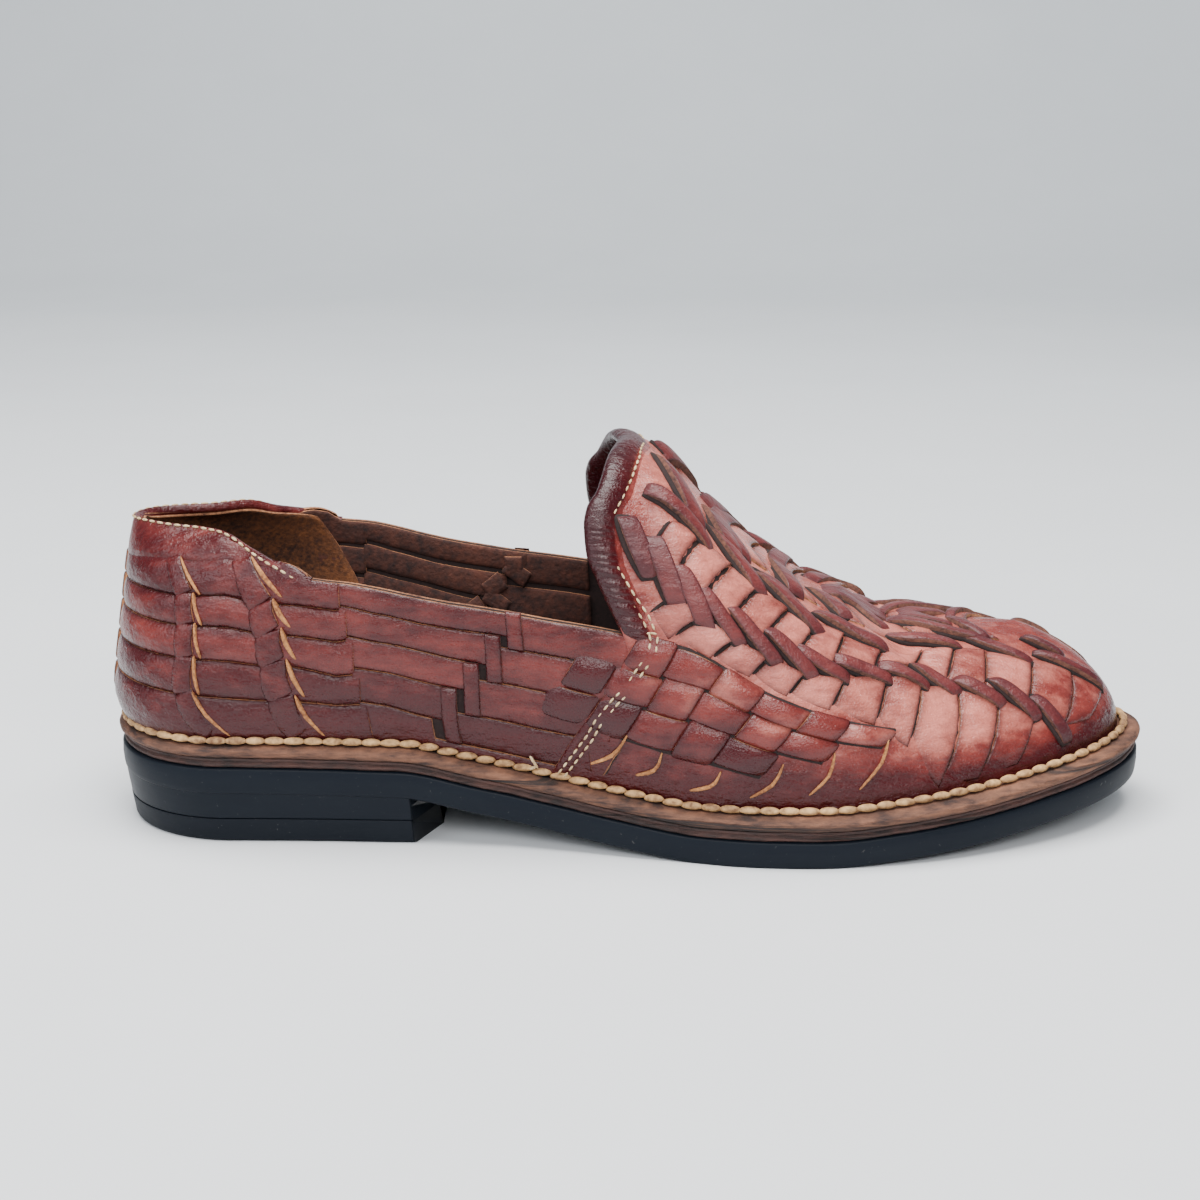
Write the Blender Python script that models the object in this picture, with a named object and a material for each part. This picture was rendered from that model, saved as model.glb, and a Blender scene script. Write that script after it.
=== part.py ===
"""A woven leather slip-on shoe for the right foot, standing empty on its sole.

The frame has +X to the toe, +Y to the inner side of the foot and +Z up. Its origin is on the
floor, in the middle of the heel's flat tread. The shape of the foot is one function, last_point,
which the wall of the upper follows, and every layer of the sole follows one outline, sole_edge.
"""
import math
import bmesh
import bpy
from mathutils import Vector
from mathutils.geometry import delaunay_2d_cdt

# Driving sizes of the sole, in metres
SOLE_LENGTH = 0.3012
BALL_WIDTH = 0.1045
HEEL_WIDTH = 0.0720
HEEL_LENGTH = 0.0870
HEEL_HEIGHT = 0.0155
HEEL_TAPER = 0.0022
TOE_SPRING = 0.0105
TOP_LIFT_THICKNESS = 0.0072
OUTSOLE_THICKNESS = 0.0077
MIDSOLE_THICKNESS = 0.0030
WELT_THICKNESS = 0.0035
INSOLE_THICKNESS = 0.0050
OUTSOLE_STEP = 0.0006
MIDSOLE_STEP = 0.0014
HEEL_REST_FROM_REAR = 0.0392

# Driving sizes of the upper
HEEL_CUP_HEIGHT = 0.0590
INSTEP_HEIGHT = 0.0960
TOE_BOX_HEIGHT = 0.0365
TOE_LEAN = 0.0310
HEEL_LEAN = 0.0078
MEDIAL_LIFT = 0.0018
FOREPART_FLANGE = 0.0065
HEEL_FLANGE = 0.0035
WALL = 0.0018
BAND_RISE = 0.0006
EDGE_RISE = 0.0008
STRAP_RISE = 0.0011
RAMP = 0.0008
SLIT = 0.0008
NARROW_STRIP = 0.0046
STRAP_WIDTH = 0.0085
KEEPER_WIDTH = 0.0060
FIT = 0.0003

# Spacing of the points that the wall and the soles are drawn with
STEP_LENGTH = 0.0125
REAR_STATIONS = 12
FRONT_STATIONS = 28
RIM_STATIONS = 26

# Outline of the sole: share of its length, then the centre line's shift as a share of the ball
# width, then the half width as a share of the heel width and a share of the ball width
PLAN = (
    (0.00, 0.000, 0.50, 0.000),
    (0.11, 0.000, 0.50, 0.000),
    (0.20, -0.004, 0.50, 0.000),
    (0.28, -0.020, 0.49, 0.000),
    (0.37, -0.036, 0.40, 0.062),
    (0.43, -0.044, 0.25, 0.186),
    (0.50, -0.048, 0.10, 0.331),
    (0.57, -0.044, 0.00, 0.450),
    (0.63, -0.034, 0.00, 0.487),
    (0.68, -0.022, 0.00, 0.500),
    (0.75, -0.004, 0.00, 0.500),
    (0.82, 0.018, 0.00, 0.500),
    (0.90, 0.042, 0.00, 0.500),
    (1.00, 0.060, 0.00, 0.500),
)
HEEL_ROUND = 0.113
TOE_ROUND = 0.683
TOE_POWER = 1.95

# Underside of the outsole: share of the length, share of the heel height, share of the toe spring
TREAD = (
    (0.00, 1.00, 0.00),
    (0.28, 0.92, 0.00),
    (0.35, 0.66, 0.00),
    (0.43, 0.37, 0.00),
    (0.50, 0.14, 0.00),
    (0.56, 0.00, 0.00),
    (0.68, 0.00, 0.00),
    (0.74, 0.00, 0.12),
    (0.80, 0.00, 0.27),
    (0.90, 0.00, 0.63),
    (1.00, 0.00, 1.00),
)

# Sections of the last: share of its length, top height above the feather line as shares of the
# heel cup, instep and toe box heights, roundness of the side, bulge past the feather line and
# shift of the ridge as a share of the ball width
SECTIONS = (
    (0.00, 1.00, 0.00, 0.00, 0.50, 0.03, 0.00),
    (0.07, 0.99, 0.00, 0.00, 0.47, 0.05, 0.00),
    (0.13, 1.02, 0.00, 0.00, 0.40, 0.10, 0.00),
    (0.19, 0.60, 0.36, 0.00, 0.28, 0.22, 0.00),
    (0.25, 0.20, 0.71, 0.00, 0.22, 0.25, -0.01),
    (0.33, 0.00, 0.92, 0.00, 0.22, 0.25, -0.02),
    (0.42, 0.00, 0.97, 0.00, 0.34, 0.24, -0.01),
    (0.50, 0.00, 1.00, 0.00, 0.58, 0.14, 0.00),
    (0.56, 0.00, 0.99, 0.00, 0.68, 0.08, 0.02),
    (0.63, 0.00, 0.80, 0.00, 0.72, 0.05, 0.03),
    (0.71, 0.00, 0.49, 0.31, 0.74, 0.03, 0.04),
    (0.77, 0.00, 0.22, 0.72, 0.74, 0.02, 0.05),
    (0.80, 0.00, 0.09, 0.97, 0.72, 0.02, 0.05),
    (0.85, 0.00, 0.00, 0.99, 0.70, 0.02, 0.06),
    (0.92, 0.00, 0.00, 0.87, 0.75, 0.02, 0.06),
    (1.00, 0.00, 0.00, 0.80, 0.85, 0.00, 0.05),
)
TOE_CURL = 1.7

# Line down the back of the heel: share of the cup's height, share of the heel's lean
HEEL_BACK = (
    (0.00, 0.27), (0.15, 0.00), (0.25, 0.08), (0.41, 0.26), (0.56, 0.44), (0.72, 0.62), (1.00, 1.00),
)

# Places on the last are a share along it, 0 at the heel and 1 at the toe, and a share of its
# girth, 0 at the feather line and 1 on the ridge. The collar's rim runs from the back of the heel
# to the seam, and the throat's edge climbs from there to the tongue's top.
RIM = (
    (0.00, 0.880), (0.07, 0.880), (0.10, 0.840), (0.13, 0.750), (0.17, 0.580), (0.20, 0.480),
    (0.24, 0.420), (0.30, 0.362), (0.36, 0.347), (0.42, 0.340), (0.505, 0.330),
)
THROAT = (
    (0.505, 0.330), (0.489, 0.430), (0.482, 0.500), (0.484, 0.570), (0.491, 0.630), (0.505, 0.690),
    (0.524, 0.830), (0.543, 1.000),
)
COLLAR_LINE = (
    (-0.010, 0.600), (0.010, 0.610), (0.065, 0.650), (0.110, 0.645),
    (0.150, 0.600), (0.185, 0.515), (0.210, 0.430),
)
EDGE_FRONT = (
    (0.580, 1.08), (0.575, 1.00), (0.564, 0.86), (0.549, 0.75), (0.535, 0.67), (0.519, 0.60), (0.512, 0.53),
    (0.513, 0.48), (0.526, 0.42), (0.541, 0.37), (0.546, 0.33), (0.542, 0.29), (0.530, 0.25), (0.515, 0.21),
    (0.499, 0.16), (0.482, 0.10), (0.455, 0.00), (0.447, -0.03),
)
EDGE_BACK = (
    (0.415, -0.03), (0.425, 0.00), (0.452, 0.09), (0.470, 0.15), (0.486, 0.20), (0.500, 0.25), (0.510, 0.30),
)

# The five strips of the side lie between these lines. Each keeper shifts the lines past it, so
# there is one table behind the first jog, one up to the keepers and one in front of them:
# share along, then the shares of girth of the four slits
SIDE_REAR = (
    (-0.01, 0.495, 0.385, 0.275, 0.165),
    (0.00, 0.495, 0.385, 0.275, 0.165),
    (0.11, 0.497, 0.380, 0.265, 0.145),
    (0.185, 0.405, 0.310, 0.220, 0.120),
    (0.23, 0.350, 0.265, 0.175, 0.100),
)
SIDE_MIDDLE = (
    (0.235, 0.360, 0.280, 0.200, 0.115),
    (0.275, 0.315, 0.245, 0.175, 0.095),
    (0.31, 0.295, 0.230, 0.160, 0.080),
    (0.40, 0.285, 0.210, 0.150, 0.075),
)
SIDE_FRONT = (
    (0.32, 0.265, 0.185, 0.105, 0.035),
    (0.44, 0.260, 0.180, 0.100, 0.030),
    (0.49, 0.250, 0.175, 0.100, 0.030),
)
FOOT_LINE = 0.018
RIM_MARGIN = 0.012
KEEPER_FIRST = 0.401
KEEPER_PITCH = -0.0215
STRAP_LINES = (
    ((0.067, 0.66), (0.085, 0.50), (0.089, 0.32), (0.089, 0.14), (0.105, 0.02)),
    ((0.137, 0.64), (0.158, 0.47), (0.168, 0.33), (0.175, 0.18), (0.190, 0.02)),
)

# The basket weave beside the ball: where its first pad lies and the steps to the next pads, along
# the shoe and down to the welt, and the half sizes of a pad in those steps
BASKET_FIRST = (0.570, 0.279)
BASKET_ALONG = (0.0408, -0.0103)
BASKET_DOWN = (-0.0188, -0.0678)
BASKET_ROWS = ((0, 5), (-1, 4), (-1, 3))
BASKET_LONG = 0.59
BASKET_SHORT = 0.39

# Slits between the wide bands of the vamp, each from its upper end to its lower end: share along
# and share of girth, twice. The narrow strips are given the same way.
LOWER_SLITS = (
    (0.566, 0.44, 0.532, 0.38), (0.593, 0.41, 0.555, 0.34), (0.615, 0.39, 0.591, 0.32),
    (0.649, 0.40, 0.629, 0.33), (0.683, 0.39, 0.664, 0.32), (0.727, 0.42, 0.706, 0.32),
    (0.777, 0.47, 0.749, 0.30), (0.809, 0.44, 0.777, 0.23), (0.849, 0.44, 0.803, 0.08),
    (0.880, 0.36, 0.842, 0.08), (0.903, 0.23, 0.881, 0.08),
)
MIDDLE_SLITS = (
    (0.573, 0.63, 0.545, 0.54), (0.607, 0.66, 0.567, 0.48), (0.638, 0.67, 0.590, 0.45),
    (0.666, 0.66, 0.619, 0.46), (0.698, 0.65, 0.655, 0.48), (0.732, 0.66, 0.684, 0.46),
    (0.758, 0.65, 0.725, 0.49), (0.791, 0.60, 0.772, 0.52), (0.853, 0.70, 0.827, 0.60),
    (0.890, 0.70, 0.853, 0.53), (0.919, 0.66, 0.886, 0.48), (0.954, 0.56, 0.915, 0.36),
    (0.975, 0.41, 0.937, 0.20), (0.988, 0.25, 0.964, 0.17),
)
UPPER_SLITS = (
    (0.612, 1.06, 0.591, 0.81), (0.648, 1.06, 0.648, 0.87), (0.690, 1.06, 0.700, 0.88),
    (0.738, 1.06, 0.752, 0.83), (0.792, 1.06, 0.798, 0.77), (0.850, 1.06, 0.864, 0.82),
    (0.900, 1.06, 0.918, 0.85), (0.945, 1.06, 0.951, 0.75),
)
NARROW_STRIPS = (
    (0.528, 0.60, 0.540, 0.48), (0.551, 0.55, 0.561, 0.43), (0.573, 0.49, 0.585, 0.40),
    (0.595, 0.47, 0.618, 0.41), (0.626, 0.48, 0.653, 0.41), (0.663, 0.49, 0.689, 0.41),
    (0.692, 0.48, 0.728, 0.44), (0.734, 0.50, 0.776, 0.47), (0.783, 0.52, 0.816, 0.47),
    (0.828, 0.59, 0.848, 0.45), (0.860, 0.50, 0.882, 0.36), (0.896, 0.48, 0.909, 0.26),
    (0.921, 0.36, 0.931, 0.10), (0.562, 0.71, 0.609, 0.66), (0.636, 0.80, 0.664, 0.66),
    (0.690, 0.79, 0.719, 0.62), (0.744, 0.73, 0.795, 0.63), (0.833, 0.80, 0.896, 0.71),
    (0.920, 0.79, 0.950, 0.55), (0.966, 0.58, 0.991, 0.27), (0.588, 0.93, 0.606, 0.74),
    (0.650, 1.02, 0.667, 0.84), (0.718, 1.00, 0.724, 0.82), (0.761, 0.95, 0.778, 0.80),
    (0.811, 1.00, 0.833, 0.87), (0.926, 1.00, 0.937, 0.76), (0.975, 0.70, 0.983, 0.51),
)

# A flat map of half the upper, in which its pattern is drawn
MAP_LENGTH = 1.2 * SOLE_LENGTH
MAP_GIRTH = 1.04 * INSTEP_HEIGHT

LATERAL = -1
MEDIAL = 1


def smooth(rows, place, column):
    """Reads one column of a table at a place along it, on a curve that never overshoots."""
    places = [row[0] for row in rows]
    values = [row[column] for row in rows]
    last = len(rows) - 1
    if place <= places[0]:
        return values[0]
    if place >= places[last]:
        return values[last]
    slopes = [(values[k + 1] - values[k]) / (places[k + 1] - places[k]) for k in range(last)]
    tangents = [slopes[0]]
    for before, after in zip(slopes, slopes[1:]):
        tangents.append(2 * before * after / (before + after) if before * after > 0 else 0.0)
    tangents.append(slopes[-1])
    k = max(i for i in range(last) if places[i] <= place)
    width = places[k + 1] - places[k]
    t = (place - places[k]) / width
    return ((1 + 2 * t) * (1 - t) ** 2 * values[k] + t * (1 - t) ** 2 * width * tangents[k]
            + t * t * (3 - 2 * t) * values[k + 1] + t * t * (t - 1) * width * tangents[k + 1])


def full_half_width(share):
    """Half width of the sole before its heel and toe are rounded."""
    return smooth(PLAN, share, 2) * HEEL_WIDTH + smooth(PLAN, share, 3) * BALL_WIDTH


def half_width(share):
    """Half width of the sole with its round heel and toe."""
    width = full_half_width(share)
    if share < HEEL_ROUND:
        width *= math.sqrt(max(0.0, 1 - (1 - share / HEEL_ROUND) ** 2))
    if share > TOE_ROUND:
        past = (share - TOE_ROUND) / (1 - TOE_ROUND)
        width *= max(0.0, 1 - past ** TOE_POWER) ** (1 / TOE_POWER)
    return width


def centre_line(share):
    return smooth(PLAN, share, 1) * BALL_WIDTH


def sole_edge(share, side, inset):
    """A point in plan on the sole's outline, moved inward by inset."""
    x = -HEEL_REST_FROM_REAR + inset + share * (SOLE_LENGTH - 2 * inset)
    width = half_width(share) * (1 - inset / full_half_width(share))
    return x, centre_line(share) + side * width


def stations():
    """Shares of the length where every layer has its points, closest at the heel and the toe."""
    heel_end = HEEL_LENGTH / SOLE_LENGTH
    rear = [heel_end * (1 - math.cos(math.pi / 2 * k / REAR_STATIONS)) for k in range(REAR_STATIONS)]
    front = [math.sin(math.pi / 2 * k / FRONT_STATIONS) for k in range(FRONT_STATIONS + 1)]
    return rear + [heel_end + (1 - heel_end) * share for share in front]


def share_at(x):
    return (x + HEEL_REST_FROM_REAR) / SOLE_LENGTH


def tread_height(x):
    """Underside of the outsole: raised over the heel, flat under the ball, sprung at the toe."""
    share = share_at(x)
    return smooth(TREAD, share, 1) * HEEL_HEIGHT + smooth(TREAD, share, 2) * TOE_SPRING


def feather_height(x):
    """Top of the welt, where the upper stands."""
    return tread_height(x) + OUTSOLE_THICKNESS + MIDSOLE_THICKNESS + WELT_THICKNESS


def flange(share):
    """Width of the welt that shows outside the upper."""
    blend = min(1.0, max(0.0, (share - 0.1) / 0.3))
    return HEEL_FLANGE + (FOREPART_FLANGE - HEEL_FLANGE) * blend


def last_point(along, girth, side):
    """The last's surface, as a closed arch from the feather line to the ridge."""
    angle = girth * math.pi / 2
    across = max(0.0, math.cos(angle))
    rise = math.sin(angle)
    top = (smooth(SECTIONS, along, 1) * HEEL_CUP_HEIGHT + smooth(SECTIONS, along, 2) * INSTEP_HEIGHT
           + smooth(SECTIONS, along, 3) * TOE_BOX_HEIGHT)
    inset = flange(along)
    foot_x, foot_y = sole_edge(along, side, inset)
    rear = -HEEL_REST_FROM_REAR + smooth(HEEL_BACK, rise, 1) * HEEL_LEAN
    front = SOLE_LENGTH - HEEL_REST_FROM_REAR - FOREPART_FLANGE - TOE_LEAN * (1 - across ** TOE_CURL)
    x = rear + along * (front - rear)
    spread = across ** smooth(SECTIONS, along, 4) * (1 + smooth(SECTIONS, along, 5) * math.sin(2 * angle))
    centre = centre_line(along)
    y = centre + rise * smooth(SECTIONS, along, 6) * BALL_WIDTH + spread * (foot_y - centre)
    lift = MEDIAL_LIFT * math.sin(2 * angle) * math.sin(math.pi * along) if side == MEDIAL else 0.0
    return Vector((x, y, feather_height(foot_x) + FIT + top * rise + lift))


def last_normal(along, girth, side):
    """The outward direction of the last's surface, steady where its two halves meet."""
    near = min(max(along, 0.004), 0.985)
    low = min(girth, 0.96)
    ahead = last_point(near + 0.003, low, side) - last_point(near - 0.003, low, side)
    up = last_point(near, low + 0.02, side) - last_point(near, max(0.0, low - 0.02), side)
    outward = ahead.cross(up) * side
    return -outward.normalized()


def to_map(along, girth):
    """A place on the last as a point on the flat map of half the upper."""
    turn = math.acos(max(-1.0, 1 - 2 * abs(along))) / math.pi
    return Vector((math.copysign(turn, along) * MAP_LENGTH, girth * MAP_GIRTH))


def from_map(point):
    turn = point.x / MAP_LENGTH
    return (1 - math.cos(math.pi * turn)) / 2, point.y / MAP_GIRTH


def on_seam(point):
    """True where the two halves of the upper share their points: heel back, toe front, ridge."""
    slack = 1e-6
    return point.x < slack or point.x > MAP_LENGTH - slack or point.y > MAP_GIRTH - slack


def divide(points, closed):
    """The same outline with points no further apart than the step."""
    ends = points[1:] + points[:1] if closed else points[1:]
    divided = []
    for start, end in zip(points, ends):
        pieces = max(1, math.ceil((end - start).length / STEP_LENGTH))
        divided += [start.lerp(end, k / pieces) for k in range(pieces)]
    return divided if closed else divided + [points[-1]]


def curve(places, pieces):
    """A smooth line on the map through places on the last."""
    points = [to_map(*place) for place in places]
    padded = [2 * points[0] - points[1]] + points + [2 * points[-1] - points[-2]]
    line = []
    for a, b, c, d in zip(padded, padded[1:], padded[2:], padded[3:]):
        for k in range(pieces):
            t = k / pieces
            line.append(0.5 * (2 * b + (c - a) * t + (2 * a - 5 * b + 4 * c - d) * t * t
                               + (3 * b - 3 * c + d - a) * t ** 3))
    return line + [points[-1]]


def inset_outline(points, distance):
    """A closed outline moved inward, with mitred corners."""
    area = sum(a.x * b.y - a.y * b.x for a, b in zip(points, points[1:] + points[:1]))
    turn = math.copysign(1.0, area)
    moved = []
    for before, here, after in zip(points[-1:] + points[:-1], points, points[1:] + points[:1]):
        first = (here - before).normalized()
        second = (after - here).normalized()
        inward_first = Vector((-first.y, first.x)) * turn
        inward_second = Vector((-second.y, second.x)) * turn
        mitre = inward_first + inward_second
        moved.append(here + mitre * (distance / max(0.35, mitre.dot(inward_first))))
    return moved


def depth(points, place):
    """How far a place lies inside an outline, or zero outside it."""
    inside = False
    nearest = 1.0
    for a, b in zip(points, points[1:] + points[:1]):
        if (a.y > place.y) != (b.y > place.y):
            if place.x < a.x + (place.y - a.y) / (b.y - a.y) * (b.x - a.x):
                inside = not inside
        edge = b - a
        t = min(1.0, max(0.0, (place - a).dot(edge) / edge.length_squared))
        nearest = min(nearest, (a + edge * t - place).length)
    return nearest if inside else 0.0


def gap_to(points, place):
    """Distance from a place to an outline."""
    nearest = 1.0
    for a, b in zip(points, points[1:] + points[:1]):
        edge = b - a
        t = min(1.0, max(0.0, (place - a).dot(edge) / edge.length_squared))
        nearest = min(nearest, (a + edge * t - place).length)
    return nearest


def ribbon(line, width):
    """A strip of even width along a line on the map."""
    left = []
    right = []
    for k, point in enumerate(line):
        ahead = (line[min(k + 1, len(line) - 1)] - line[max(k - 1, 0)]).normalized()
        aside = Vector((-ahead.y, ahead.x)) * width / 2
        left.append(point + aside)
        right.append(point - aside)
    return left + right[::-1]


def side_strips():
    """The five long strips of the side, broken at the jog behind and at each keeper."""
    strips = []
    for row in range(5):
        keeper = KEEPER_FIRST + KEEPER_PITCH * row
        half_keeper = KEEPER_WIDTH / SOLE_LENGTH / 2
        spans = (
            (SIDE_REAR, SIDE_REAR[0][0], SIDE_REAR[-1][0]),
            (SIDE_MIDDLE, SIDE_MIDDLE[0][0], keeper - half_keeper),
            (SIDE_FRONT, keeper + half_keeper, SIDE_FRONT[-1][0]),
        )
        for table, start, end in spans:
            count = max(2, round((end - start) * SOLE_LENGTH / STEP_LENGTH))
            places = [start + (end - start) * k / count for k in range(count + 1)]
            low = [smooth(table, s, row + 1) if row < 4 else FOOT_LINE for s in places]
            high = [smooth(table, s, row) if row else strip_top(s) for s in places]
            bottom = [to_map(s, g) for s, g in zip(places, low)]
            top = [to_map(s, g) for s, g in zip(places, high)]
            strips.append(bottom + top[::-1])
    return strips


def strip_top(along):
    """Upper edge of the first strip: under the collar band, then just below the rim."""
    if along < COLLAR_LINE[-1][0]:
        return smooth(COLLAR_LINE, along, 1)
    return smooth(RIM, along, 1) - RIM_MARGIN


def keepers():
    """The short loops that hold the side's strips, one step lower and further back each."""
    loops = []
    for row in range(4):
        along = KEEPER_FIRST + KEEPER_PITCH * row
        top = smooth(SIDE_MIDDLE, along, row) if row else smooth(RIM, along, 1) + RIM_MARGIN
        low = smooth(SIDE_FRONT, along, row + 1)
        line = [to_map(along, top), to_map(along, (top + low) / 2), to_map(along, low)]
        loops.append(ribbon(line, KEEPER_WIDTH))
    return loops


def basket_pads():
    """Pads of the basket weave, in turn along the shoe and across it."""
    pads = []
    for row, (first, stop) in enumerate(BASKET_ROWS):
        for column in range(first, stop):
            long_way = (row + column) % 2 == 0
            reach = BASKET_LONG if long_way else BASKET_SHORT
            drop = BASKET_SHORT if long_way else BASKET_LONG
            corners = []
            for a, b in ((-reach, -drop), (reach, -drop), (reach, drop), (-reach, drop)):
                along = BASKET_FIRST[0] + (column + a) * BASKET_ALONG[0] + (row + b) * BASKET_DOWN[0]
                girth = BASKET_FIRST[1] + (column + a) * BASKET_ALONG[1] + (row + b) * BASKET_DOWN[1]
                corners.append(to_map(along, girth))
            pads.append(corners)
    return pads


def band_fields(slits):
    """The wide bands' visible fields, one between each two slits."""
    fields = []
    for behind, ahead in zip(slits, slits[1:]):
        corners = [to_map(*behind[:2]), to_map(*ahead[:2]), to_map(*ahead[2:]), to_map(*behind[2:])]
        fields.append(inset_outline(corners, SLIT / 2))
    return fields


def narrow_strips():
    strips = []
    for row in NARROW_STRIPS:
        start = to_map(*row[:2])
        end = to_map(*row[2:])
        strips.append(ribbon([start, start.lerp(end, 0.5), end], NARROW_STRIP))
    return strips


def pattern():
    """All raised outlines of half the upper, each with its rise."""
    collar_top = [to_map(along, 1.05) for along in (COLLAR_LINE[-1][0], 0.12, 0.05, COLLAR_LINE[0][0])]
    collar = curve(COLLAR_LINE, 2) + collar_top
    throat_back = [to_map(along - 0.03, girth) for along, girth in THROAT]
    edge = curve(EDGE_BACK, 2) + throat_back + [to_map(THROAT[-1][0] - 0.03, EDGE_FRONT[0][1])]
    edge += curve(EDGE_FRONT, 1)
    rear_strap = [to_map(0.0, 0.61), to_map(0.0, 0.32), to_map(0.0, FOOT_LINE)]
    outlines = [(collar, EDGE_RISE), (edge, EDGE_RISE)]
    outlines += [(inset_outline(strip, SLIT / 2), BAND_RISE) for strip in side_strips() + basket_pads()]
    for slits in (LOWER_SLITS, MIDDLE_SLITS, UPPER_SLITS):
        outlines += [(field, BAND_RISE) for field in band_fields(slits)]
    outlines += [(ribbon(curve(line, 2), STRAP_WIDTH), STRAP_RISE) for line in STRAP_LINES]
    outlines.append((ribbon(rear_strap, 2 * STRAP_WIDTH), STRAP_RISE))
    outlines += [(shape, STRAP_RISE) for shape in keepers() + narrow_strips()]
    return [(divide(points, True), rise) for points, rise in outlines]


def half_outline():
    """Edge of half the upper on the map: feather line, toe, ridge, throat, rim, back of heel."""
    turns = [math.pi * k / RIM_STATIONS for k in range(1, RIM_STATIONS + 1)]
    shares = [RIM[-1][0] * (1 + math.cos(turn)) / 2 for turn in turns]
    rim_places = [(share, smooth(RIM, share, 1)) for share in shares]
    foot = [to_map(share, 0.0) for share in stations()]
    top = [to_map(1.0, 1.0)] + curve(THROAT[::-1], 2) + [to_map(*place) for place in rim_places]
    return foot[:-1] + divide(foot[-1:] + top + foot[:1], False)[:-1]


def map_grid(outline, shapes):
    """Points that keep the wall round between its raised strips."""
    points = []
    columns = round(MAP_LENGTH / STEP_LENGTH)
    rows = round(MAP_GIRTH / STEP_LENGTH)
    for i in range(1, columns):
        for j in range(1, rows):
            place = Vector((MAP_LENGTH * i / columns, MAP_GIRTH * j / rows))
            if depth(outline, place) < STEP_LENGTH / 2:
                continue
            if all(gap_to(shape, place) > STEP_LENGTH / 3 for shape in shapes):
                points.append(place)
    return points


def triangulate(outline, shapes, loose):
    """Triangles inside an outline that keep the given shapes' edges."""
    points = list(outline)
    edges = []
    for shape in shapes:
        first = len(points)
        points += shape
        edges += [(first + k, first + (k + 1) % len(shape)) for k in range(len(shape))]
    points += loose
    result = delaunay_2d_cdt(points, edges, [list(range(len(outline)))], 0, 1e-6)
    places, _, faces, sources, _, owners = result
    kept = [face for face, owner in zip(faces, owners) if 0 in owner]
    return places, kept, sources


def border_loop(faces):
    """The points around a set of triangles, in order."""
    directed = {pair for face in faces for pair in zip(face, face[1:] + face[:1])}
    after = {a: b for a, b in directed if (b, a) not in directed}
    loop = [min(after)]
    while after[loop[-1]] != loop[0]:
        loop.append(after[loop[-1]])
    return loop


def wall_point(along, girth, sides, lift):
    """A point of the wall above the last. A seam point belongs to both sides; the foot is level."""
    outward = sum((last_normal(along, girth, side) for side in sides), Vector())
    if along in (0.0, 1.0):
        outward.y = 0.0
    if girth == 0.0:
        outward.z = 0.0
    point = last_point(along, girth, sides[0]) + outward.normalized() * lift
    if girth == 0.0:
        point.z = feather_height(point.x) + FIT
    return point


def snap(share):
    """A share of the last's length or girth, exact at either end."""
    return 0.0 if share < 1e-4 else 1.0 if share > 1 - 1e-4 else share


def lay_skin(bm, places, faces, lift):
    """Lays one skin of the wall on both halves of the last and returns its points by side."""
    points = {}
    for k in sorted({k for face in faces for k in face}):
        along, girth = (snap(share) for share in from_map(places[k]))
        shared = on_seam(places[k])
        for sides in ((LATERAL, MEDIAL),) if shared else ((LATERAL,), (MEDIAL,)):
            vertex = bm.verts.new(wall_point(along, girth, sides, lift(places[k])))
            points.update({(k, side): vertex for side in sides})
    for face in faces:
        if all(on_seam(places[k]) for k in face):
            continue
        for side in (LATERAL, MEDIAL):
            bm.faces.new([points[k, side] for k in face])
    return points


def make_upper(material):
    """One hollow wall, open at the collar, at the throat and underneath."""
    outlines = pattern()
    shapes = []
    for points, _ in outlines:
        shapes += [points, inset_outline(points, RAMP)]
    outline = half_outline()
    places, faces, _ = triangulate(outline, shapes, map_grid(outline, [points for points, _ in outlines]))

    def rise(place):
        highest = 0.0
        for points, height in outlines:
            if height > highest:
                highest = max(highest, height * min(1.0, depth(points, place) / RAMP))
        return highest

    bm = bmesh.new()
    outer = lay_skin(bm, places, faces, rise)
    loop = border_loop(faces)
    edge = [places[k] for k in loop]
    inner_places, inner_faces, sources = triangulate(edge, [], map_grid(edge, []))
    inner = lay_skin(bm, inner_places, inner_faces, lambda place: -WALL)
    inner_of = {source: k for k, origins in enumerate(sources) for source in origins}
    for k in range(len(loop)):
        following = (k + 1) % len(loop)
        if on_seam(edge[k]) and on_seam(edge[following]):
            continue
        for side in (LATERAL, MEDIAL):
            bm.faces.new((outer[loop[k], side], outer[loop[following], side],
                          inner[inner_of[following], side], inner[inner_of[k], side]))
    return finish(bm, "upper", material)


def finish(bm, name, material):
    """Turns the faces outward and makes the named object."""
    bmesh.ops.triangulate(bm, faces=bm.faces[:])
    bmesh.ops.recalc_face_normals(bm, faces=bm.faces[:])
    mesh = bpy.data.meshes.new(name)
    bm.to_mesh(mesh)
    bm.free()
    mesh.materials.append(material)
    obj = bpy.data.objects.new(name, mesh)
    bpy.context.collection.objects.link(obj)
    return obj


def edge_loop(inset_at, height_at, shares, whole):
    """A closed loop along the sole's edge, out on the lateral side and back on the medial one."""
    rings = {}
    for side in (LATERAL, MEDIAL):
        edge = [sole_edge(share, side, inset_at(share)) for share in shares]
        rings[side] = [Vector((x, y, height_at(x))) for x, y in edge]
    back = rings[MEDIAL][-2::-1] if whole else rings[MEDIAL][::-1]
    return rings[LATERAL] + back[:-1]


def bridge(bm, first, second):
    """A band of faces between two loops with as many points."""
    count = len(first)
    for k in range(count):
        bm.faces.new((first[k], first[(k + 1) % count], second[(k + 1) % count], second[k]))


def cap(bm, loop):
    """Closes a loop with faces that run straight across the sole."""
    low = 1
    high = len(loop) - 1
    bm.faces.new((loop[0], loop[low], loop[high]))
    while high - low > 2:
        bm.faces.new((loop[low], loop[low + 1], loop[high - 1], loop[high]))
        low += 1
        high -= 1
    if high - low == 2:
        bm.faces.new((loop[low], loop[low + 1], loop[high]))


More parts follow.
